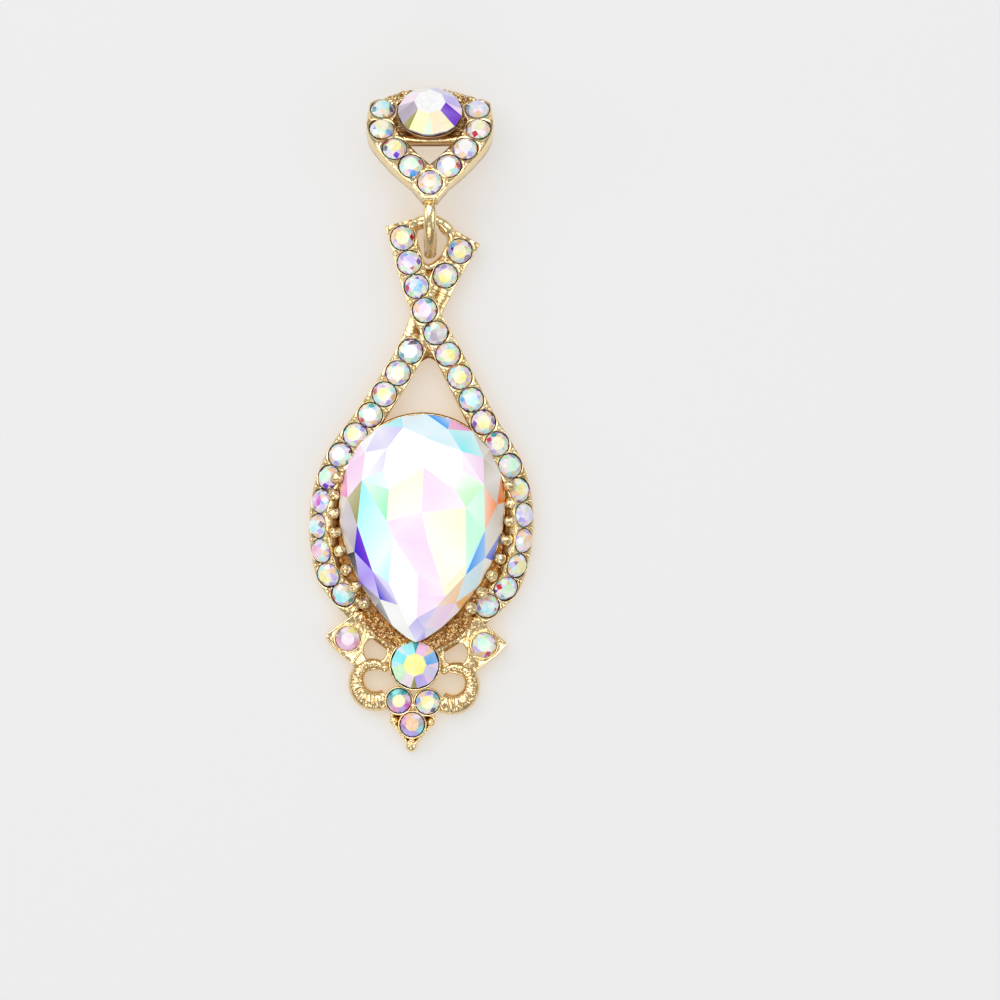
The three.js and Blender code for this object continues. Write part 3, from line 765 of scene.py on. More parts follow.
def gold_material():
    """Cast and plated pale gold: polished on its rims, rougher in its recesses and darkened there with painted
    shade, with the soft unevenness of a casting"""
    colours = bpy.context.scene.earring_colours
    material, nodes, links, shader = node_tree("cast_gold")
    recess_shade = nodes.new("ShaderNodeAttribute")
    recess_shade.attribute_name = "recess_shade"
    cloud = noise(nodes, links, 900.0)
    patches = ranged(nodes, links, cloud, 0.35, 0.7, 0.0, 1.0)
    base = mixed(nodes, links, patches, colours.gold, colours.gold_warm)
    # Painted shade: the gold darkens to the shaded gold in its hollows and, past one, to the near-black shadow
    # gold
    shallow = ranged(nodes, links, recess_shade.outputs["Fac"], 0.0, 1.0, 0.0, 1.0)
    deepest = ranged(nodes, links, recess_shade.outputs["Fac"], 1.0, 2.0, 0.0, 1.0)
    dark = mixed(nodes, links, shallow, base, colours.gold_recess_shade)
    links.new(mixed(nodes, links, deepest, dark, colours.gold_shadow), shader.inputs["Base Color"])
    shader.inputs["Metallic"].default_value = 1.0
    links.new(ranged(nodes, links, recess_shade.outputs["Fac"], 0.0, 1.0, 0.17, 0.36), shader.inputs["Roughness"])
    bump = nodes.new("ShaderNodeBump")
    bump.inputs["Strength"].default_value = 0.6
    bump.inputs["Distance"].default_value = 0.0001
    links.new(noise(nodes, links, 1900.0, 3.0, 0.6), bump.inputs["Height"])
    links.new(bump.outputs["Normal"], shader.inputs["Normal"])
    return material


def crystal_material(name, fire_scale, gloss):
    """Foiled glass under an iridescent coat: each facet has its own tint, with its painted reflections and shade,
    broken up softly by cells that darken it towards their edges, under a clear hard gloss"""
    material, nodes, links, shader = node_tree(name)
    tint = nodes.new("ShaderNodeAttribute")
    tint.attribute_name = "tint"
    place = nodes.new("ShaderNodeTexCoord")
    cells = nodes.new("ShaderNodeTexVoronoi")
    cells.inputs["Scale"].default_value = fire_scale
    links.new(place.outputs["Object"], cells.inputs["Vector"])
    glow = ranged(nodes, links, cells.outputs["Distance"], 0.0, 0.9, 1.0, 0.9)
    lit = mixed(nodes, links, 1.0, tint.outputs["Color"], glow, "MULTIPLY")
    links.new(lit, shader.inputs["Base Color"])
    shader.inputs["Roughness"].default_value = 0.3
    shader.inputs["IOR"].default_value = 1.5
    shader.inputs["Specular IOR Level"].default_value = 0.3
    shader.inputs["Coat Weight"].default_value = gloss
    shader.inputs["Coat Roughness"].default_value = 0.02
    shader.inputs["Coat IOR"].default_value = 1.55
    return material


def material_of(name, make):
    """The named material, made once"""
    return bpy.data.materials.get(name) or make()


def gold():
    return material_of("cast_gold", gold_material)


def small_crystal():
    return material_of("coated_crystal", lambda: crystal_material("coated_crystal", 1600.0, 0.6))


def large_crystal():
    return material_of("large_crystal", lambda: crystal_material("large_crystal", 260.0, 0.35))


class EarringSizes(bpy.types.PropertyGroup):
    """Sizes of the castings and stones that can be changed"""

    ribbon_width: FloatProperty(
        name="Ribbon Width", description="Width of the stone-set ribbons",
        default=0.0031, min=0.0028, max=0.0036, subtype="DISTANCE", unit="LENGTH",
    )
    ribbon_thickness: FloatProperty(
        name="Ribbon Thickness", description="Thickness of the ribbons",
        default=0.0019, min=0.001, max=0.0025, subtype="DISTANCE", unit="LENGTH",
    )
    rim: FloatProperty(
        name="Rim", description="How far a ribbon's rim stands over the stones' girdles",
        default=0.00012, min=0.0, max=0.0004, subtype="DISTANCE", unit="LENGTH",
    )
    prong: FloatProperty(
        name="Prong Bead", description="Radius of the beads that hold the small stones",
        default=0.00031, min=0.0001, max=0.0004, subtype="DISTANCE", unit="LENGTH",
    )
    small_stone: FloatProperty(
        name="Small Stone", description="Diameter of the small stones",
        default=0.0027, min=0.002, max=0.003, subtype="DISTANCE", unit="LENGTH",
    )
    accent_stone: FloatProperty(
        name="Accent Stone", description="Diameter of the stone under the pear's point",
        default=0.0053, min=0.004, max=0.006, subtype="DISTANCE", unit="LENGTH",
    )
    solitaire_stone: FloatProperty(
        name="Stud Stone", description="Diameter of the stud's large stone",
        default=0.0072, min=0.006, max=0.008, subtype="DISTANCE", unit="LENGTH",
    )
    bead: FloatProperty(
        name="Bead Radius", description="Radius of the beads beside the large stone",
        default=0.00068, min=0.0003, max=0.0009, subtype="DISTANCE", unit="LENGTH",
    )


class EarringColours(bpy.types.PropertyGroup):
    """Colours of the metal and the stage"""

    gold: FloatVectorProperty(
        name="Gold", description="Polished high places of the gold",
        default=tuple(linear((0.99, 0.91, 0.73))), min=0.0, max=1.0, subtype="COLOR",
    )
    gold_warm: FloatVectorProperty(
        name="Warm Gold", description="Warmer patches of the gold",
        default=tuple(linear((0.97, 0.85, 0.6))), min=0.0, max=1.0, subtype="COLOR",
    )
    # Painted shade: the gold's colour in its shaded hollows
    gold_recess_shade: FloatVectorProperty(
        name="Deep Gold", description="Recesses of the casting",
        default=tuple(linear((0.62, 0.42, 0.22))), min=0.0, max=1.0, subtype="COLOR",
    )
    gold_shadow: FloatVectorProperty(
        name="Shadow Gold", description="Pockets and cracks of the casting",
        default=tuple(linear((0.3, 0.19, 0.11))), min=0.0, max=1.0, subtype="COLOR",
    )
    floor: FloatVectorProperty(
        name="Floor", description="The pale surface under the earring",
        default=(0.212, 0.213, 0.214), min=0.0, max=1.0, subtype="COLOR",
    )


def millimetres():
    """The scene's sizes as plain numbers in millimetres"""
    sizes = bpy.context.scene.earring_sizes
    return SimpleNamespace(**{key: getattr(sizes, key) / MM for key in EarringSizes.__annotations__})


def both_ribbons():
    """The over ribbon on the right side of the drop and the under ribbon on its left"""
    return ribbon_line(1, OVER_ARM_ROWS), ribbon_line(-1, UNDER_ARM_ROWS)


def polar(outline, centre, samples, soften=0):
    """Distance from a centre to an outline at even polar angles, smoothed over neighbours"""
    outline = np.asarray(outline, float)
    steps = np.linspace(0, 1, 40, endpoint=False)[None, :, None]
    dense = (outline[:, None] * (1 - steps) + np.roll(outline, -1, axis=0)[:, None] * steps).reshape(-1, 2)
    away = dense - centre
    angle = np.arctan2(away[:, 1], away[:, 0])
    order = np.argsort(angle)
    wanted = np.linspace(-np.pi, np.pi, samples, endpoint=False)
    radius = np.interp(wanted, angle[order], np.linalg.norm(away, axis=1)[order], period=2 * np.pi)
    for _ in range(soften):
        radius = (np.roll(radius, 1) + 2 * radius + np.roll(radius, -1)) / 4
    return wanted, radius


def plate(centre, angle, stations):
    """A closed surface of stations from the middle below to the middle above, each a radius, a height and an
    amount of painted shade at every polar angle"""
    rings, dark = [], []
    for radius, height, recess_shade in stations:
        radius = radius + 0 * angle
        across, up = radius * np.cos(angle), radius * np.sin(angle)
        rings.append(np.stack([centre[0] + across, centre[1] + up, height + 0 * angle], -1))
        dark.append(recess_shade + 0 * angle)
    return closed_tube(np.stack(rings), np.stack(dark))


def bars_outline():
    """The bed's lower edge from left to right, along the bars of the ornament and over the accent stone"""
    right = np.array([[0.0, 0.0], [2.0, 1.7], [4.5, 3.0], [6.2, 4.8]]) + [0, accent_y()]
    return np.concatenate([right[:0:-1] * [-1, 1], right])


def stone_bed(over):
    """The bed round the large stone: from the outline under the ribbons in to the collar, uneven on top, down
    into the pocket and across its floor"""
    samples = 420
    low = over.length <= over.stop * BED_REACH
    edge = (over.points - over.outward * BED_INSET)[low][::12, :2]
    edge = edge[edge[:, 1] < BED_SHOULDER]
    outline = np.concatenate([edge, edge[::-1] * [-1, 1], bars_outline()])
    centre = np.array([0.0, PEAR.centre])
    angle, outer = polar(outline, centre, samples, 6)
    _, inner = polar(pear_outline(np.linspace(0, 2 * np.pi, 240, endpoint=False), PEAR.gap), centre, samples)
    collar = inner + COLLAR
    outer = np.maximum(outer, collar + 0.12)
    # Third values are painted shade: a little on the underside and outer wall, more in the low places of the
    # uneven top
    stations = [
        (outer * 0.05, 0.0, 0.3),
        (outer - 0.15, 0.0, 0.3),
        (outer, 0.15, 0.3),
        (outer, BED_HEIGHT - 0.15, 0.4),
    ]
    for share in np.linspace(0, 1, 15):
        radius = outer * (1 - share) + (collar + 0.02) * share - 0.1 * (share == 0)
        place = np.stack([radius * np.cos(angle), radius * np.sin(angle), 0 * angle], 1)
        rough = 0.16 * ripple(place, 0.9, 8) + 0.12 * ripple(place, 0.42, 9)
        height = BED_HEIGHT + rough * np.sin(np.pi * min(share + 0.15, 1))
        stations.append((radius, height, np.clip(1.0 - 1.8 * rough, 0.2, 1.4)))
    top = PEAR.girdle - 0.22
    # Painted shade at the collar's foot and in the pocket under the large stone
    stations += [
        (collar, BED_HEIGHT + 0.05, 1.0),
        (collar, top - 0.08, 0.3),
        (collar - 0.05, top, 0.1),
        (inner - 0.1, top, 0.3),
        (inner - 0.12, top - 0.1, 1.0),
        (inner - 0.12, PEAR.girdle - 0.5, 1.0),
        (inner * 0.55, PEAR.girdle - PEAR.pavilion + 0.05, 0.6),
        (inner * 0.05, PEAR.girdle - PEAR.pavilion, 0.6),
    ]
    return plate(centre, angle, stations), angle, outer, collar


def accent_y():
    """The accent stone's middle lies under the pear's point, in the drop's own frame"""
    low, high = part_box("accent_stone")
    return (low.y + high.y) / 2 / MM - drop_shift()[1]


def stone_point(node):
    """Middle of a stone of the ornament in the drop's own frame"""
    low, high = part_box(node)
    return (np.array(low + high) / 2 / MM - drop_shift())[:2]


def bead_row(sizes):
    """Beads on both sides between the large stone and the ribbon, at even steps of the grown outline"""
    angle = np.radians(np.linspace(50.6, 112.8, 8))
    right = pear_outline(angle, np.linspace(1.2, 0.9, 8))
    points = np.concatenate([right, right * [-1, 1]])
    shell = ball(sizes.bead, 12, 18)
    beads = repeated(shell, np.column_stack([points, np.full(len(points), PEAR.girdle + 0.4)]))
    rough = ripple(beads.points, 0.6, 12) + 0.6 * ripple(beads.points, 0.33, 13)
    beads.points += 0.13 * rough[:, None] * [1, 1, 0.8]
    # Painted shade in the low places of each bead
    beads.recess_shade[:] = np.clip(0.12 - 0.5 * rough, 0, 0.7)
    return beads


def grains(angle, outer, collar):
    """Fine grains strewn over the bed's lower part, denser towards the large stone's point"""
    generator = np.random.default_rng(21)
    count = 520
    where = -np.pi / 2 + np.clip(generator.normal(0, 0.4, count), -0.95, 0.95)
    share = generator.uniform(0.1, 0.9, count)
    edge = np.interp(where, angle, outer)
    wall = np.interp(where, angle, collar)
    radius = wall + 0.1 + (edge - wall - 0.2) * share
    points = np.stack(
        [radius * np.cos(where), PEAR.centre + radius * np.sin(where), BED_HEIGHT + 0.02 + 0 * where], 1
    )
    points = points[(edge - wall) > 0.3]
    shell = repeated(ball(1.0, 4, 7), points, None, generator.uniform(0.12, 0.22, len(points)))
    shell.recess_shade[:] = np.repeat(generator.uniform(0.0, 1.0, len(points)), len(shell.recess_shade) // len(points))
    return shell


def cup(point, height, radius, depth=0.9, lip=0.12, foot=0.0, sides=40, wall=0.28):
    """A round cup: up its wall, over a rounded lip, and down into its pocket, darkened with painted shade"""
    inner = radius + 0.05
    outer = radius + wall
    profile = [
        (0.05, foot, 0.3),
        (outer - 0.1, foot, 0.3),
        (outer, foot + 0.1, 0.3),
        (outer, height - 0.12, 0.15),
        (outer - 0.06, height + lip - 0.04, 0.0),
        (outer - 0.2, height + lip, 0.0),
        (inner + 0.05, height + lip - 0.03, 0.0),
        (inner, height - 0.05, 0.7),
        (inner - 0.05, height - depth + 0.1, 1.0),
        (inner - 0.2, height - depth, 1.0),
        (0.05, height - depth, 1.0),
    ]
    rings = turned([(r, z) for r, z, _ in profile], sides)
    dark = np.broadcast_to(np.array([d for *_, d in profile])[:, None], rings.shape[:2])
    shell = closed_tube(rings, dark)
    shell.points += point
    return shell


def rounded(width, height, count=16, power=2.6):
    """A rounded rectangle as a superellipse, with its top at zero"""
    angle = np.arange(count) * 2 * np.pi / count
    shape = lambda v: np.sign(v) * np.abs(v) ** (2 / power)
    return np.stack([width / 2 * shape(np.cos(angle)), height / 2 * (shape(np.sin(angle)) - 1)], -1)


def strip(points, width, height, count=40, texture=0.0, seed=1, ends=0.35):
    """A rounded bar along a smooth line, drawn in at both ends, with an uneven surface"""
    line = upright_line(points, count)
    share = line.length / line.length[-1]
    swell = 1 - ends * np.maximum(1 - np.minimum(share, 1 - share) / 0.12, 0) ** 2
    sections = rounded(width, height, 20)[None] * np.stack([swell, np.ones_like(swell)], 1)[:, None]
    rings = carried(line.points, line.across, line.normal, sections)
    # Painted shade: darker towards the bar's underside and in the hollows of its uneven surface
    dark = 0.1 + 0.5 * np.clip(-sections[..., 1] / height, 0, 1)
    if texture:
        rough = texture * (ripple(rings, 0.55, seed) + 0.7 * ripple(rings, 0.3, seed + 1))
        rings = rings + rough[..., None] * [0, 0, 1] * (sections[..., 1:] > -height * 0.6)
        dark = np.clip(dark + 0.3 - 2.2 * rough, 0, 1)
    return closed_tube(rings, dark)


def scroll(side, sizes):
    """The scroll: an arc whose width grows from its free end, with a domed top crossed by slanting ridges"""
    steps, columns = 110, 22
    share = np.linspace(0, 1, steps)
    angle = np.radians(SCROLL.start + share * (SCROLL.end - SCROLL.start))
    width = SCROLL.thin + (SCROLL.thick - SCROLL.thin) * np.minimum(share / SCROLL.swell, 1)
    width *= 1 - 0.5 * np.maximum(1 - share / 0.05, 0) ** 2
    radius = SCROLL.hole + width / 2
    middle = np.array([sizes.accent_stone / 2 + WALL + SCROLL.hole, accent_y() - SCROLL.below])
    out, up = middle[0] + radius * np.cos(angle), middle[1] + radius * np.sin(angle)
    points = np.stack([side * out, up, 0 * angle], 1)
    across = np.stack([side * np.cos(angle), np.sin(angle), 0 * angle], 1)
    turn = np.arange(columns) * 2 * np.pi / columns
    shape = lambda v, power: np.sign(v) * np.abs(v) ** power
    sideways = 0.5 * width[:, None] * shape(np.cos(turn), 0.75)
    height = 0.5 * ORNAMENT_HEIGHT * (1 + shape(np.sin(turn), 0.8))
    along = radius[:, None] * np.abs(angle - angle[0])[:, None]
    wander = 0.9 * ripple(np.dstack([along + 0 * sideways, 2 * sideways, 0 * sideways]), 1.3, 17)
    ridge = 0.1 * np.sin(2 * np.pi * (along / 0.5 + sideways / 1.2 + wander))
    ridge += 0.08 * ripple(np.dstack([along + 0 * sideways, sideways, 0 * sideways]), 0.5, 19)
    top = np.clip(1.6 * np.sin(turn), 0, 1) * np.clip(1.2 - np.abs(np.cos(turn)), 0, 1)
    ridge *= np.clip(0.25 + 1.6 * share, 0, 1)[:, None]
    rings = points[:, None] + sideways[..., None] * across[:, None]
    rings[..., 2] = height + ridge * top
    # Painted shade: darker on the scroll's underside and in the troughs between its ridges
    dark = 0.1 + 0.35 * np.clip(-np.sin(turn), 0, 1) + np.clip(0.25 - ridge * 3.5, 0, 0.6) * top
    return closed_tube(rings, np.clip(dark, 0, 1))


def hole_surround(side):
    """The metal round the round hole: between a circle and an uneven outline, raised beside the hole"""
    centre = np.array([side * ROUND_HOLE.out, ROUND_HOLE.up])
    corners = np.array(ROUND_HOLE_CORNERS) * [side, 1]
    angle, outer = polar(corners, centre, 120, 4)
    hole = ROUND_HOLE.radius
    top = ORNAMENT_HEIGHT - 0.2
    middle = (hole + outer) / 2
    rough = 0.14 * ripple(np.stack([middle * np.cos(angle), middle * np.sin(angle), 0 * angle], 1), 0.9, 23)
    # Third values are painted shade, darkest on the wall down into the hole
    stations = [
        (hole + 0.05, 0.0, 0.4), (outer - 0.1, 0.0, 0.3), (outer, 0.15, 0.3), (outer, top - 0.2, 0.3),
        (outer - 0.12, top - 0.05, 0.25), (middle, top - 0.12 + rough, 0.35), (hole + 0.22, top, 0.05),
        (hole + 0.06, top - 0.04, 0.0), (hole, top - 0.3, 0.3), (hole, 0.1, 0.7),
    ]
    shell = plate(centre, angle, stations)
    rings = shell.points[:-2].reshape(len(stations), len(angle), 3)
    return closed_ring(rings, shell.recess_shade[:-2])


def leaf(side, sizes):
    """A leaf: a plate with a raised rim that follows its corners, dished round its stone"""
    middle = stone_point("leaf_stone_right" if side > 0 else "leaf_stone_left")
    corners = [middle + sizes.small_stone * np.array([side * out, up]) for out, up in LEAF_CORNERS]
    angle, radius = polar(corners, middle, 160, 3)
    top = ORNAMENT_HEIGHT
    # Third values are painted shade, a little on the walls and in the dish round the stone
    stations = [
        (radius * 0.05, 0.0, 0.3),
        (radius - 0.15, 0.0, 0.3),
        (radius, 0.15, 0.3),
        (radius, top - 0.15, 0.1),
        (radius - 0.06, top, 0.0),
        (radius - 0.18, top - 0.02, 0.0),
        (radius - 0.28, top - 0.14, 0.3),
        (np.minimum(radius - 0.3, sizes.small_stone / 2 + WALL), top - 0.12, 0.2),
        (0.05, top - 0.2, 0.4),
    ]
    return plate(middle, angle, stations)


class EARRING_OT_drop(bpy.types.Operator):
    """Cast gold of the drop: ribbons, bed, beads, bail and ornament"""

    bl_idname = "earring.drop"
    bl_label = "Drop Casting"

    def execute(self, context):
        sizes = millimetres()
        over, under = both_ribbons()
        shells = []
        for line, runs in ((over, OVER_RUNS), (under, UNDER_RUNS)):
            places = run_places(line, runs, sizes)
            shells.append(channel(line, places, sizes.ribbon_width, sizes.ribbon_thickness, sizes, line.side))
            shells.append(prong_beads(line, places, sizes.ribbon_width, sizes))
        bed, angle, outer, collar = stone_bed(over)
        shells += [bed, grains(angle, outer, collar), bead_row(sizes)]
        shells += bail_shells(over, under)
        shells += ornament_shells(over, sizes)
        make_piece("drop_casting", shells, [gold()], ["drop_frame"], drop_shift())
        return {"FINISHED"}


def bail_shells(over, under):
    """The ring round the bail's hole: a bar along a closed curve, round in the arch, that slopes towards the
    hole on its inner side. Below the crossing a wedge fills the fork of the ribbons."""
    rows = np.array(BAIL_RING)
    loop = smooth_line(np.concatenate([rows[-3:], rows, rows[:3]]), 460)
    part = (loop.passed >= 3) & (loop.passed < 3 + len(rows))
    across_up, top, width = loop.points[part, :2], loop.points[part, 2], loop.points[part, 3]
    points = np.column_stack([across_up, top])
    heading = np.roll(points, -1, axis=0) - np.roll(points, 1, axis=0)
    heading[:, 2] = 0
    heading /= np.linalg.norm(heading, axis=1, keepdims=True)
    inward = np.column_stack([heading[:, 1], -heading[:, 0], 0 * top])
    turn = np.arange(20) * 2 * np.pi / 20
    shape = lambda v: np.sign(v) * np.abs(v) ** 0.65
    near_loop = np.exp(-((points[:, 0] / 0.75) ** 4)) * np.interp(points[:, 1], [30.5, 32.0], [0, 1])
    depth = 1.4 + 0.2 * (1 - near_loop)
    rough = 0.05 * ripple(points, 0.7, 4)
    sideways = 0.5 * (width + rough)[:, None] * shape(np.cos(turn))
    down = 0.5 * depth[:, None] * (1 - shape(np.sin(turn)))
    slope = np.interp(points[:, 0], [-1.2, -0.4], [0.4, 0.25])
    slope = slope * np.interp(points[:, 1], [30.2, 32.4], [0.3, 1.0])
    sideways = sideways + (slope * (1 - near_loop))[:, None] * down * np.clip(0.5 + np.cos(turn), 0, 1)
    rings = points[:, None] + sideways[..., None] * inward[:, None]
    rings[..., 2] -= down - rough[:, None]
    # Painted shade: darker down the ring's sides
    dark = np.clip(0.62 * down - 0.05, 0, 1.0)
    wedge_place = lambda line: at_length(line, np.interp(CROSSING_FOOT, line.points[:, 1], line.length))[0]
    low, high = wedge_place(over), wedge_place(under)
    wedge = strip([low, (low + high) / 2 + [0, 1.95, -0.5], high], 1.7, 1.2, 24, 0.05, 7, 0.0)
    # Painted shade: the wedge and, more, the fork between the ribbons are darkened
    wedge.recess_shade[:] = np.clip(wedge.recess_shade + 0.45, 0, 1)
    fork = strip([[-0.75, 28.4, 2.5], [-0.5, 27.0, 2.5], [-0.35, 25.6, 2.4]], 1.5, 1.4, 24, 0.08, 8, 0.6)
    fork.recess_shade[:] = np.clip(fork.recess_shade + 0.6, 0, 1.2)
    return [closed_ring(rings, dark.ravel()), wedge, fork]


def ornament_shells(over, sizes):
    """The bars, leaves, scrolls, cups and beads at the foot of the drop"""
    foot = over.points[0]
    y = accent_y()
    reach = sizes.accent_stone / 2 + WALL + SCROLL.hole
    shells = []
    for side in (1, -1):
        place = lambda x, y: np.array([side * x, y, ORNAMENT_HEIGHT + 0.05])
        shells.append(
            strip(
                [
                    place(abs(foot[0]) + WALL, foot[1] - WALL),
                    place(reach, y + sizes.accent_stone * 0.64),
                    place(sizes.accent_stone * 0.38, y + sizes.accent_stone * 0.34),
                ],
                1.9, ORNAMENT_HEIGHT, 60, 0.2, 11, 0.2,
            )
        )
        shells += [leaf(side, sizes), scroll(side, sizes)]
        shells.append(hole_surround(side))
    for node in LEAF_STONES + CLUSTER_STONES:
        x, at = stone_point(node)
        shells.append(cup([x, at, 0], ORNAMENT_HEIGHT, sizes.small_stone / 2))
    shells.append(cup([0, y, 0], PEAR.girdle - 0.95, sizes.accent_stone / 2, 1.4, 0.06))
    low = stone_point("cluster_stone_low")
    reach_low = sizes.small_stone / 2 + WALL
    tip = 0.65
    corners = np.array(
        [
            [reach_low * 1.45, low[1] + tip * 1.7],
            [-reach_low * 1.45, low[1] + tip * 1.7],
            [-reach_low * 1.1, low[1] - tip * 0.6],
            [-tip * 0.55, low[1] - reach_low - tip * 0.85],
            [tip * 0.55, low[1] - reach_low - tip * 0.85],
            [reach_low * 1.1, low[1] - tip * 0.6],
        ]
    )
    centre = np.array([0.0, low[1]])
    angle, radius = polar(corners, centre, 140, 2)
    notch = 0.05 * np.sin(angle * 26)
    radius = radius + notch
    # The plate under the lowest stone, with painted shade in the dish round that stone
    shells.append(
        plate(
            centre, angle,
            [
                (radius * 0.05, 0.0, 0.3), (radius - 0.1, 0.0, 0.3), (radius, 0.12, 0.2),
                (radius, 1.95, 0.1), (radius - 0.08, 2.1 + notch, 0.0), (radius - 0.25, 2.08 + notch, 0.1),
                (radius - 0.38, 1.5, 0.9), (radius * 0.05, 1.4, 1.0),
            ],
        )
    )
    cluster = stone_point("cluster_stone_left")
    beads = [
        (0, low[1] - reach_low - tip * 0.95, tip + 0.35, tip + 0.04),
        (0, low[1] - reach_low - 0.05, 1.7, 0.42), (0, cluster[1] - 0.45, ORNAMENT_HEIGHT, 0.4),
        (reach_low * 1.15, low[1] + tip * 0.5, 1.6, 0.5), (-reach_low * 1.15, low[1] + tip * 0.5, 1.6, 0.5),
    ]
    free = np.radians(SCROLL.start)
    for side in (1, -1):
        radius = SCROLL.hole + SCROLL.thin / 2
        out, up = reach + radius * np.cos(free), y - SCROLL.below + radius * np.sin(free)
        beads.append((side * out, up, 2.0, 0.5))
    beads = np.array(beads)
    shells.append(repeated(ball(1.0, 10, 16), beads[:, :3], None, beads[:, 3]))
    return shells


class EARRING_OT_drop_stones(bpy.types.Operator):
    """Small and accent stones of the drop"""

    bl_idname = "earring.drop_stones"
    bl_label = "Drop Stones"

    def execute(self, context):
        sizes = millimetres()
        over, under = both_ribbons()
        points, matrices, tables = [], [], []
        for line, runs, names in ((over, OVER_RUNS, OVER_TABLES), (under, UNDER_RUNS, UNDER_TABLES)):
            point, normal, heading = at_length(line, run_places(line, runs, sizes))
            point, matrix = seats(point, normal, heading)
            points.append(point)
            matrices.append(matrix)
            tables += names[: len(point)]
        points, matrices = np.concatenate(points), np.concatenate(matrices)
        shell = set_stones(points, matrices, tables, sizes.small_stone, *SMALL_CUT, 40)
        make_piece("ribbon_stones", [shell], [small_crystal()], ["drop_frame"], drop_shift())
        single = {"accent_stone": (sizes.accent_stone, *ACCENT_CUT, 5)}
        for number, name in enumerate(LEAF_STONES):
            single[name] = (sizes.small_stone, *SMALL_CUT, 61 + number)
        for number, name in enumerate(CLUSTER_STONES):
            single[name] = (sizes.small_stone, *SMALL_CUT, 71 + number)
        for name, (width, crown, pavilion, seed) in single.items():
            single_stone(name, width, crown, pavilion, seed)
        return {"FINISHED"}


def single_stone(node, width, crown, pavilion, seed):
    """A round stone that stands for its own solid"""
    point, axis = stone_seat(node, crown, pavilion)
    point, matrix = seats(point[None], axis[None], np.array([0.0, 1.0, 0.0]))
    if node in CHATON_TINTS:
        shell = repeated(chaton(width, crown, pavilion, 0.49), point, matrix)
        shell.tints = chaton_tints(*CHATON_TINTS[node])
    elif node in CUT_TINTS:
        shell = set_stones(point, matrix, ["white"], width, crown, pavilion, seed, [np.pi / 8], 0.56)
        shell.tints = named_tints(CUT_TINTS[node])
    else:
        shell = set_stones(point, matrix, [SINGLE_TABLES[node]], width, crown, pavilion, seed)
    make_piece(f"{node}_cut", [shell], [small_crystal()], [node])


# The pear's table painted with the reflections of the facets below it, its white pieces painted highlights:
# places are shares of its half width and half length
TABLE_POINTS = {
    "apex": (0.0, 0.54),
    "shoulder_left": (-0.5, 0.5), "shoulder_right": (0.49, 0.53),
    "wing_left": (-0.42, 0.33), "wing_right": (0.4, 0.36),
    "waist_left": (-0.43, 0.045), "waist": (0.0, 0.14),
    "heart_left": (-0.34, -0.09), "heart": (0.09, -0.12),
    "fork": (-0.01, -0.42), "fork_right": (0.31, -0.54),
    "keel": (0.0, -0.62), "keel_left": (-0.37, -0.5), "keel_right": (0.35, -0.6),
    "side_right": (0.545, 0.2), "flank_right": (0.58, -0.3),
}
# Its facets from above, the table's own corners counted from the point (t0) round by the right
TABLE_FACETS = [
    ("white", "t6 t7 shoulder_left wing_left apex"),
    ("white", "t6 apex wing_right shoulder_right t5"),
    ("haze", "t7 t8 shoulder_left"),
    ("ice", "t8 wing_left shoulder_left"),
    ("mint", "t8 waist_left wing_left"),
    ("aqua", "t8 t9 waist_left"),
    ("ivory", "apex wing_left waist_left waist"),
    ("petal", "apex waist side_right wing_right"),
    ("celadon", "wing_right side_right t4 shoulder_right"),
    ("petal", "shoulder_right t4 t5"),
    ("dew", "t4 side_right t3"),
    ("ivory", "waist heart fork_right flank_right side_right"),
    ("dew", "side_right flank_right t3"),
    ("aqua", "flank_right t2 t3"),
    ("petal", "waist_left heart_left fork fork_right heart waist"),
    ("ice", "t9 t10 keel_left heart_left waist_left"),
    ("white", "heart_left keel_left keel fork"),
    ("white", "keel_left t11 t0 keel"),
    ("haze", "t10 t11 keel_left"),
    ("petal", "fork keel keel_right fork_right"),
    ("petal", "keel t0 t1 keel_right"),
    ("ivory", "fork_right keel_right t2 flank_right"),
    ("dew", "keel_right t1 t2"),
]
# The crown's facets from the point round by the right, up to the round end and back by the left: their tints
# hold painted reflections, with white facets as painted highlights and slate and smoke as painted shade
STAR_TINTS = "haze peach sky amber petal frost white white olive violet violet white".split()
KITE_TINTS = "lilac petal frost clear clear aqua frost haze petal mist lilac white".split()
GIRDLE_TINTS = (
    "lilac haze shell peach white blue clear amber clear clear rose sky frost ice "
    "white petal rose clear clear slate smoke slate white white"
).split()


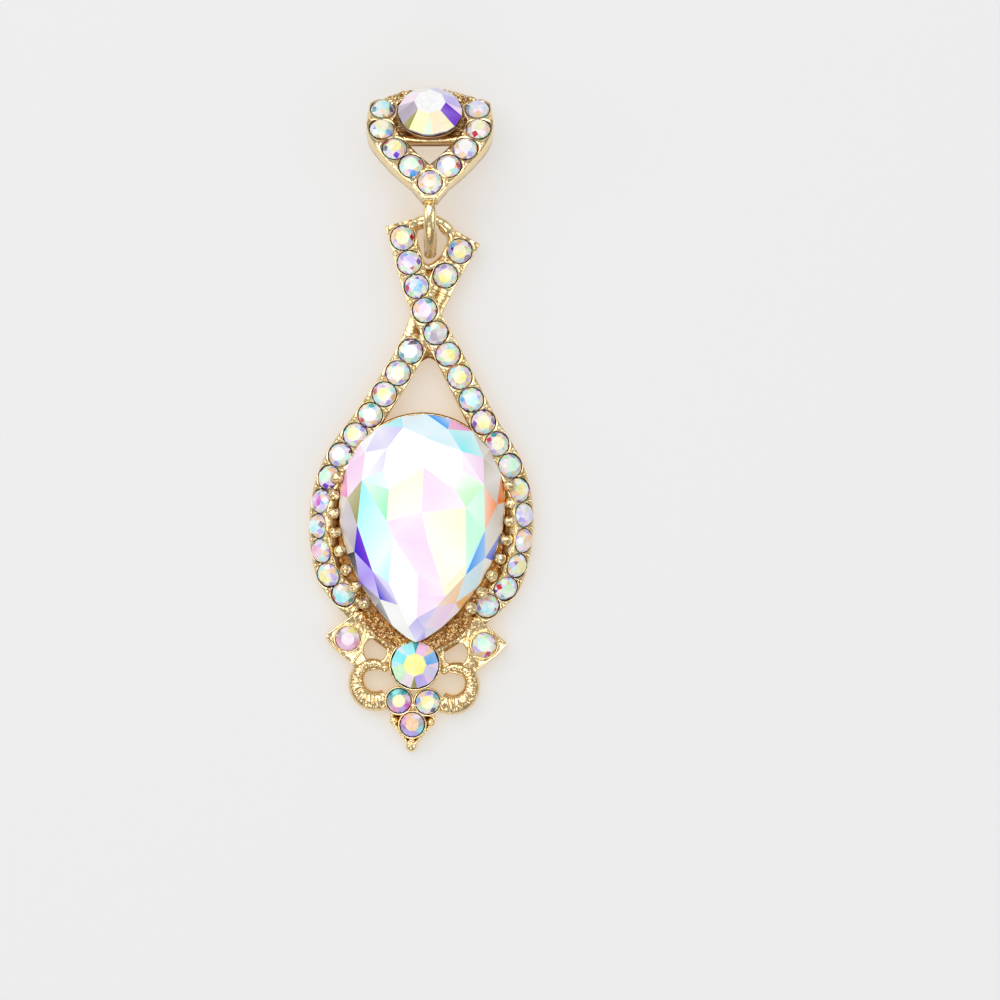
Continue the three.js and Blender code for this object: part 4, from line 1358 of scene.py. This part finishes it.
def pear_shell():
    """The pear stone: a girdle of 24 points, kites and stars between rings at shares of the outline, a
    shallow dome of facets for its table, and a pavilion of mains below"""

    def ring(number, offset, share, height):
        angle = (np.arange(number) + offset) * 2 * np.pi / number
        outline = (pear_outline(angle, GIRDLE_GROWTH) - [0, PEAR.centre]) * share + [0, PEAR.centre]
        return np.column_stack([outline, np.full(number, height)])

    top = PEAR.girdle + PEAR.crown
    table_share, table_height = 0.79, top - 0.62
    rings = [
        ring(24, 0, 1.0, PEAR.girdle - 0.12),
        ring(24, 0, 1.0, PEAR.girdle + 0.14),
        ring(12, 0.5, 0.905, PEAR.girdle + 1.25),
        ring(12, 0, table_share, table_height),
        ring(12, 0, 0.5, PEAR.girdle - PEAR.pavilion + PEAR.gap + 0.05),
    ]
    names = list(TABLE_POINTS)
    places = np.array([TABLE_POINTS[name] for name in names])
    generator = np.random.default_rng(6)
    reach = np.linalg.norm(places, axis=1) / table_share
    heights = top - 0.62 * reach**2 + generator.uniform(-0.05, 0.05, len(places))
    inner = np.column_stack([places * [PEAR.width / 2, PEAR.length / 2] + [0, PEAR.centre], heights])
    culet = np.array([[0, PEAR.centre, PEAR.girdle - PEAR.pavilion + PEAR.gap]])
    points = np.concatenate([*rings, inner, culet])
    low, upper, middle, table, mains = 0, 24, 48, 60, 72
    first_inner = 84
    last = len(points) - 1
    k = np.arange(12)
    n = (k + 1) % 12
    g = np.arange(24)
    band = np.stack([low + g, low + (g + 1) % 24, upper + (g + 1) % 24, upper + g], 1)
    left = np.stack([middle + k, upper + 2 * k, upper + 2 * k + 1], 1)
    right = np.stack([middle + k, upper + 2 * k + 1, upper + (2 * k + 2) % 24], 1)
    kite = np.stack([table + n, middle + k, upper + 2 * n, middle + n], 1)
    star = np.stack([table + k, middle + k, table + n], 1)
    below = np.stack([mains + k, low + 2 * k, low + 2 * k + 1], 1)
    beside = np.stack([mains + k, low + 2 * k + 1, low + (2 * k + 2) % 24, mains + n], 1)
    under = np.stack([np.full(12, last), mains + k, mains + n], 1)
    tint = lambda words: linear([TINTS[word] for word in words])
    girdle = tint(GIRDLE_TINTS)
    turned_round = [block[:, ::-1] for block in (left, right, kite, star, below, beside)]
    blocks = [band, *turned_round, under]
    tints = [
        np.broadcast_to(linear(TINTS["clear"]), (24, 3)),
        girdle[0::2],
        girdle[1::2],
        tint(np.roll(KITE_TINTS, -1)),
        tint(STAR_TINTS),
        np.broadcast_to(linear(TINTS["mist"]), (12, 3)),
        np.broadcast_to(linear(TINTS["mist"]), (12, 3)),
        np.broadcast_to(linear(TINTS["mist"]), (12, 3)),
    ]
    number_of = {name: first_inner + at for at, name in enumerate(names)}
    number_of.update({f"t{at}": table + at for at in range(12)})
    for word, corners in TABLE_FACETS:
        blocks.append(np.array([[number_of[corner] for corner in corners.split()]]))
        tints.append(linear([TINTS[word]]))
    return points, blocks, tints


class EARRING_OT_pear(bpy.types.Operator):
    """Large pear-cut stone"""

    bl_idname = "earring.pear"
    bl_label = "Pear Stone"

    def execute(self, context):
        points, blocks, tints = pear_shell()
        outward = []
        middle = np.array([0, PEAR.centre, PEAR.girdle])
        for block in blocks:
            corner = points[block]
            normal = np.cross(corner[:, 1] - corner[:, 0], corner[:, 2] - corner[:, 0])
            flip = np.sum(normal * (corner.mean(1) - middle), 1) < 0
            outward.append(np.where(flip[:, None], block[:, ::-1], block))
        shell = Shell(points, outward, 0.0, tints, False)
        place = drop_shift()
        make_piece("pear_stone_cut", [shell], [large_crystal()], ["pear_stone"], place, PEAR_FADES)
        return {"FINISHED"}


# The stud, in its own frame with its lowest stone at the origin
STUD = SimpleNamespace(
    arc=19.1, tilt=17.0, thickness=2.2, turn=2.6, tip=1.9, border=0.25, cup_depth=2.6, brow=2.9,
    plate_reach=1.25,
)
# The right half of the plate round the lowest stone, from the tip up: side and along
TIP_CORNERS = [
    (0.0, -2.0), (0.8, -2.0), (1.15, -1.5), (1.95, -0.55),
    (2.35, 0.35), (1.75, 1.25), (0.9, 1.75), (0.0, 1.85),
]
STUD_HALF_SPAN = 7.2 / 2 + WALL + 2.7 / 2
SOLITAIRE_ALONG = 4.4 + 7.2 / 2
BROW_ALONG = SOLITAIRE_ALONG + STUD.brow
STUD_STONES = {
    "bottom": (0.0, 0.0),
    "low": (0.389, 0.684),
    "lower": (0.731, 1.446),
    "mid": (1.0, 2.386),
    "top": (0.98, 3.44),
}
STUD_PITCH = 2.85
LOOP = SimpleNamespace(length=8.8, width=6.2, wire=1.1, band=1.4, pitch=43.0)


def stud_place(side, along, rise=0.0):
    """A place on the stud's arched face: an arc that starts at its tilt, with the face's own normal"""
    side, along = np.broadcast_arrays(np.asarray(side, float), np.asarray(along, float))
    start = np.radians(STUD.tilt)
    tilt = start + along / STUD.arc
    normal = np.stack([0 * tilt, np.sin(tilt), np.cos(tilt)], -1)
    point = np.stack(
        [side, STUD.arc * (np.sin(tilt) - np.sin(start)), STUD.arc * (np.cos(tilt) - np.cos(start))], -1
    )
    return point + rise * normal, normal


def to_part(shell):
    """Turns a shell of the stud's own frame into the part's"""
    turn = np.radians(STUD.turn)
    matrix = np.array([[np.cos(turn), -np.sin(turn), 0], [np.sin(turn), np.cos(turn), 0], [0, 0, 1]])
    origin, _ = stone_seat("stud_stone_bottom", *SMALL_CUT)
    shell.points = shell.points @ matrix.T + origin
    return shell


def stud_line(pairs, count):
    """A line over the arched face through pairs of side and along"""
    flat = smooth_line(np.column_stack([pairs, np.zeros(len(pairs))]), count)
    point, normal = stud_place(flat.points[:, 0], flat.points[:, 1])
    length = np.append(0, np.cumsum(np.linalg.norm(np.diff(point, axis=0), axis=1)))
    heading = np.gradient(point, axis=0)
    heading /= np.linalg.norm(heading, axis=1, keepdims=True)
    normal = squared(normal, heading)
    return SimpleNamespace(
        points=point, normal=normal, heading=heading, across=np.cross(heading, normal), length=length
    )


def stud_shells(sizes):
    """The stud's casting: two channels that meet at the tip, the grained brow, the ledge and the big cup"""
    shells = []
    width = sizes.small_stone + 2 * STUD.border
    for side in (1, -1):
        pairs = [(side * s * STUD_HALF_SPAN, a * STUD_PITCH) for s, a in STUD_STONES.values()]
        pairs.append((side * STUD_HALF_SPAN * 0.93, BROW_ALONG + 0.55))
        line = stud_line(pairs, 300)
        centres = np.array([stud_place(*pair)[0] for pair in pairs[:-1]])
        nearest = np.argmin(np.linalg.norm(line.points[:, None] - centres[None], axis=2), axis=0)
        places = line.length[nearest]
        left_over = line.length[-1] - line.length
        taper = np.clip(0.25 + left_over / 1.1, 0, 1) ** 0.5
        shells.append(prong_beads(line, places, width, sizes))
        kept = line.length > STUD.plate_reach
        for name in ("points", "normal", "heading", "across", "length"):
            setattr(line, name, getattr(line, name)[kept])
        shells.append(channel(line, places[1:], width, STUD.thickness, sizes, side, taper[kept]))
    shells.append(tip_plate(sizes))
    shells.append(backing())
    brow = stud_line(
        [
            (-STUD_HALF_SPAN * 0.9, BROW_ALONG - 0.3), (-STUD_HALF_SPAN * 0.6, BROW_ALONG + 0.9),
            (0, BROW_ALONG + 1.5),
            (STUD_HALF_SPAN * 0.6, BROW_ALONG + 0.9), (STUD_HALF_SPAN * 0.9, BROW_ALONG - 0.3),
        ],
        90,
    )
    section = rounded(width * 0.6, STUD.thickness, 20)
    rings = carried(brow.points, brow.across, brow.normal, np.broadcast_to(section, (90, 20, 2)))
    shells.append(closed_tube(rings, 0.15))
    shells.append(brow_grains(brow, width * 0.6))
    ledge = stud_line([(-STUD_HALF_SPAN * 0.8, 5.9), (0, 5.6), (STUD_HALF_SPAN * 0.8, 5.9)], 40)
    section = rounded(0.95, STUD.thickness * 0.36, 16)
    rings = carried(ledge.points, ledge.across, ledge.normal, np.broadcast_to(section, (40, 16, 2)))
    # Painted shade, darker down the ledge's sides
    shells.append(closed_tube(rings, np.clip(0.15 - 0.6 * section[:, 1], 0, 0.9) + 0 * rings[..., 0]))
    point, normal = stud_place(0, SOLITAIRE_ALONG, 1.55)
    origin, matrix = seats(point[None], normal[None], np.array([0.0, 1.0, 0.0]))
    bowl = cup([0, 0, 0], -0.34, sizes.solitaire_stone / 2 - 0.2, 1.5, 0.06, -STUD.cup_depth, 64, 0.26)
    low = np.clip((-0.4 - bowl.points[:, 2]) / (STUD.cup_depth - 0.4), 0, 1)
    bowl.points[:, :2] *= (1 - 0.42 * low)[:, None]
    # Painted shadow under the large stone: the bowl is shaded throughout and turns to the shadow gold down its
    # wall
    bowl.recess_shade = np.clip(bowl.recess_shade + 0.8 + np.clip(5 * low, 0, 1), 0, 2)
    shells.append(moved(bowl, origin[0], matrix[0]))
    return shells


def tip_plate(sizes):
    """The plate round the lowest stone: an outline narrowed to the tip, over its rim and into the pocket"""
    right = np.array(TIP_CORNERS)
    angle, radius = polar(np.concatenate([right, right[-2::-1] * [-1, 1]]), np.zeros(2), 120, 3)
    radius = radius + 0.03 * ripple(np.stack([np.cos(angle), np.sin(angle), 0 * angle], 1), 0.7, 41)
    pocket = sizes.small_stone / 2 + POCKET_GAP
    thickness = STUD.thickness
    # Third values are painted shade, darkest in the stone's pocket
    shell = plate(
        np.zeros(2), angle,
        [
            (radius * 0.05, -thickness, 0.3), (radius - 0.15, -thickness, 0.3),
            (radius, 0.15 - thickness, 0.3),
            (radius + 0.02, -0.2, 0.1), (radius - 0.07, 0.04, 0.0),
            (np.maximum(pocket + 0.1, radius - 0.3), sizes.rim - 0.06, 0.35),
            (pocket + 0.05, sizes.rim + 0.01, 0.0), (pocket, sizes.rim - 0.12, 1.5),
            (pocket * 0.97, -0.6, 1.8), (0.05, -0.66, 1.6),
        ],
    )
    point, normal = stud_place(0, 0)
    origin, matrix = seats(point[None], normal[None], np.array([0.0, 1.0, 0.0]))
    return moved(shell, origin[0], matrix[0])


def backing():
    """The rough metal behind the large stone: a flat bar up the face, as wide at each place as the space
    between the channels, with noise on its top"""
    line = stud_line([(0.0, 5.7), (0.0, 8.0), (0.0, BROW_ALONG + 1.2)], 60)
    share = line.length / line.length[-1]
    width = 2 * STUD_HALF_SPAN * np.interp(share, [0, 0.12, 0.5, 0.85, 1], [0.7, 0.84, 0.9, 0.8, 0.4])
    columns = 60
    turn = np.arange(columns) * 2 * np.pi / columns
    shape = lambda v: np.sign(v) * np.abs(v) ** 0.35
    height = 0.5 * (shape(np.sin(turn)) - 1) - 0.75
    sections = np.stack([width[:, None] / 2 * shape(np.cos(turn)), height + 0 * width[:, None]], -1)
    rings = carried(line.points, line.across, line.normal, sections)
    rough = ripple(rings, 0.6, 43) + 0.7 * ripple(rings, 0.3, 44)
    rings += 0.16 * (rough * (np.sin(turn) > 0))[..., None] * line.normal[:, None]
    # Painted shade over the whole bar, darker in its low places
    return closed_tube(rings, np.clip(0.7 - 1.2 * rough, 0.2, 1.2))


def brow_grains(brow, width):
    """Three rows of grains along the brow"""
    generator = np.random.default_rng(33)
    count = 84
    length = np.linspace(0.3, brow.length[-1] - 0.3, count) + generator.uniform(-0.08, 0.08, count)
    point, normal, heading = at_length(brow, length)
    across = np.cross(heading, normal)
    uphill = across * np.sign(across[:, 1:2])
    reach = width * (0.4 - 0.28 * (np.arange(count) % 3))[:, None]
    reach = reach + generator.uniform(-0.16, 0.16, (count, 1))
    beads = repeated(ball(1.0, 8, 12), point + uphill * reach, None, generator.uniform(0.18, 0.38, count))
    beads.points += 0.1 * ripple(beads.points, 0.4, 35)[:, None] * [1, 1, 0.8]
    beads.recess_shade[:] = np.repeat(generator.uniform(0.0, 0.7, count), len(beads.recess_shade) // count)
    return beads


def loop_shell():
    """The oval loop below the tip: an ellipse in the upright plane that it hangs in, with a rounded band"""
    start, _ = stud_place(0, -STUD.tip / 2, -STUD.thickness * 0.75)
    pitch = np.radians(LOOP.pitch)
    heading = np.array([0, -np.cos(pitch), -np.sin(pitch)])
    square = np.array([0, -heading[2], heading[1]])
    middle = start + heading * LOOP.length / 2
    angle = (np.arange(72) * 2 * np.pi / 72)[:, None]
    long, wide = (LOOP.length - LOOP.wire) / 2, (LOOP.width - LOOP.wire) / 2
    points = middle + heading * long * np.cos(angle) + square * wide * np.sin(angle)
    outward = heading * np.cos(angle) / long + square * np.sin(angle) / wide
    outward /= np.linalg.norm(outward, axis=1, keepdims=True)
    section = rounded(LOOP.band, LOOP.wire, 16, 2.1) + [0, LOOP.wire / 2]
    across = np.broadcast_to([1.0, 0.0, 0.0], points.shape)
    swell = 1 + 0.1 * ripple(points, 1.2, 27)
    rings = carried(points, across, outward, section[None] * swell[:, None, None])
    # Painted shade: darker towards the loop's far end and along one side
    dark = np.clip(0.15 + 0.5 * np.cos(angle) - 0.3 * np.sin(angle), 0.0, 0.45) + 0 * rings[..., 0]
    return closed_ring(rings, dark.ravel())


class EARRING_OT_stud(bpy.types.Operator):
    """Cast gold of the stud with its loop, and its pin"""

    bl_idname = "earring.stud"
    bl_label = "Stud Casting"

    def execute(self, context):
        sizes = millimetres()
        shells = [to_part(shell) for shell in [*stud_shells(sizes), loop_shell()]]
        make_piece("stud_casting", shells, [gold()], ["stud_frame"])
        origin, axis = stone_seat("solitaire_stone", *SOLITAIRE_CUT)
        back = STUD.cup_depth + 0.15
        disc = [
            (0.03, -back - 0.7), (1.3, -back - 0.7), (1.4, -back - 0.6), (1.4, -back - 0.08), (1.33, -back),
            (0.03, -back),
        ]
        point, matrix = seats(origin[None], axis[None], np.array([0.0, 1.0, 0.0]))
        pad = moved(closed_tube(turned(disc, 32)), point[0], matrix[0])
        top = origin - (back + 0.35) * axis
        shaft = [(0.03, 0.0), (0.34, 0.0), (0.42, 0.1), (0.42, top[2] - 0.6), (0.5, top[2] - 0.3), (0.03, top[2])]
        pin = moved(closed_tube(turned(shaft, 24)), [top[0], top[1], 0])
        make_piece("ear_post_pin", [pad, pin], [gold()], ["ear_post"])
        return {"FINISHED"}


class EARRING_OT_stud_stones(bpy.types.Operator):
    """Stones of the stud"""

    bl_idname = "earring.stud_stones"
    bl_label = "Stud Stones"

    def execute(self, context):
        sizes = millimetres()
        single_stone("solitaire_stone", sizes.solitaire_stone, *SOLITAIRE_CUT, 3)
        pairs = [name for name in STUD_STONES if name != "bottom"]
        names = ["bottom"] + [f"{name}_{hand}" for name in pairs for hand in ("left", "right")]
        for number, name in enumerate(names):
            single_stone(f"stud_stone_{name}", sizes.small_stone, *SMALL_CUT, 80 + number)
        return {"FINISHED"}


# The photograph's frame: 1000 pixels cover 112 mm, and its middle lies right of and below the drop's
FRAME_WIDTH = 112.0
FRAME_MIDDLE = (8.70, -8.69)
FRAME_TURN = 2.6
CAMERA_HEIGHT = 1.4
# The floor's tone by how open it lies: where the earring shuts it in, painted shade and painted warm light
# bounced from the gold, in both its colour and its glow
FLOOR_GLOW = [
    (0.12, (0.98, 0.76, 0.5)), (0.42, (1.06, 0.94, 0.8)), (0.72, (1.01, 0.99, 0.965)), (1.0, (1.0, 1.0, 1.0)),
]


class EARRING_OT_stage(bpy.types.Operator):
    """Pale floor, soft lights and the camera above"""

    bl_idname = "earring.stage"
    bl_label = "Stage"

    def execute(self, context):
        scene = context.scene
        bpy.ops.mesh.primitive_plane_add(size=6.0, location=(0, 0, -0.00002))
        floor = context.object
        floor.name = "floor"
        material, nodes, links, shader = node_tree("pale_floor")
        cloud = noise(nodes, links, 3.0)
        colour = np.array(scene.earring_colours.floor)
        plain = mixed(nodes, links, ranged(nodes, links, cloud, 0.3, 0.7, 0.0, 1.0), colour, colour * 0.99)
        # Painted shade and bounce light: the floor's colour and glow follow how shut in it lies
        shut_in = nodes.new("ShaderNodeAmbientOcclusion")
        shut_in.samples = 8
        shut_in.inputs["Distance"].default_value = 0.012
        glow = nodes.new("ShaderNodeValToRGB")
        ramp = glow.color_ramp.elements
        while len(ramp) < len(FLOOR_GLOW):
            ramp.new(0.5)
        for stop, (place, tone) in zip(ramp, FLOOR_GLOW):
            stop.position = place
            stop.color = (*tone, 1.0)
        links.new(shut_in.outputs["AO"], glow.inputs["Fac"])
        toned = mixed(nodes, links, 1.0, plain, glow.outputs["Color"], "MULTIPLY")
        links.new(toned, shader.inputs["Base Color"])
        links.new(glow.outputs["Color"], shader.inputs["Emission Color"])
        shader.inputs["Roughness"].default_value = 0.7
        shader.inputs["Specular IOR Level"].default_value = 0.2
        shader.inputs["Emission Strength"].default_value = 0.6
        floor.data.materials.append(material)
        world = bpy.data.worlds.new("studio")
        scene.world = world
        world.use_nodes = True
        nodes, links = world.node_tree.nodes, world.node_tree.links
        place = nodes.new("ShaderNodeTexCoord")
        parts = nodes.new("ShaderNodeSeparateXYZ")
        links.new(place.outputs["Generated"], parts.inputs["Vector"])
        background = nodes["Background"]
        background.inputs["Color"].default_value = (1.0, 1.0, 1.0, 1.0)
        brightness = ranged(nodes, links, parts.outputs["Z"], 0.05, 0.3, 0.1, 0.42)
        links.new(brightness, background.inputs["Strength"])
        lights = [
            ("key_light", (-0.15, 0.22, 0.55), 0.55, 2.6),
            ("fill_light", (0.45, -0.1, 0.4), 0.3, 0.6),
            ("back_light", (-0.1, -0.5, 0.35), 0.3, 0.6),
            ("side_light", (-0.5, -0.05, 0.25), 0.2, 0.3),
        ]
        for name, place, size, power in lights:
            data = bpy.data.lights.new(name, "AREA")
            data.size = size
            data.energy = power
            light = bpy.data.objects.new(name, data)
            light.location = place
            light.rotation_euler = (-Vector(place)).to_track_quat("-Z", "Y").to_euler()
            light.visible_camera = False
            scene.collection.objects.link(light)
        data = bpy.data.cameras.new("camera")
        data.sensor_width = 36.0
        data.lens = 36.0 * (CAMERA_HEIGHT - 0.004) / (FRAME_WIDTH * MM)
        data.clip_start = 0.01
        data.clip_end = 20.0
        camera = bpy.data.objects.new("camera", data)
        camera.location = (FRAME_MIDDLE[0] * MM, FRAME_MIDDLE[1] * MM, CAMERA_HEIGHT)
        camera.rotation_euler = (0, 0, np.radians(FRAME_TURN))
        scene.collection.objects.link(camera)
        scene.camera = camera
        scene.view_settings.view_transform = "Standard"
        return {"FINISHED"}


OPERATORS = [
    EARRING_OT_drop, EARRING_OT_drop_stones, EARRING_OT_pear,
    EARRING_OT_stud, EARRING_OT_stud_stones, EARRING_OT_stage,
]


class EARRING_PT_panel(bpy.types.Panel):
    """Lists the sizes, colours and pieces of the earring"""

    bl_idname = "EARRING_PT_panel"
    bl_label = "Teardrop Earring"
    bl_space_type = "VIEW_3D"
    bl_region_type = "UI"
    bl_category = "Earring"

    def draw(self, context):
        for group in (context.scene.earring_sizes, context.scene.earring_colours):
            for key in type(group).__annotations__:
                self.layout.prop(group, key)
        for operator in OPERATORS:
            self.layout.operator(operator.bl_idname)


CLASSES = [EarringSizes, EarringColours, *OPERATORS, EARRING_PT_panel]


def register():
    for kind in CLASSES:
        bpy.utils.register_class(kind)
    bpy.types.Scene.earring_sizes = PointerProperty(type=EarringSizes)
    bpy.types.Scene.earring_colours = PointerProperty(type=EarringColours)


def unregister():
    del bpy.types.Scene.earring_sizes
    del bpy.types.Scene.earring_colours
    for kind in reversed(CLASSES):
        bpy.utils.unregister_class(kind)


def main():
    """Builds every piece and the stage"""
    register()
    for operator in OPERATORS:
        group, name = operator.bl_idname.split(".")
        getattr(getattr(bpy.ops, group), name)()
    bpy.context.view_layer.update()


if __name__ == "__main__":
    main()
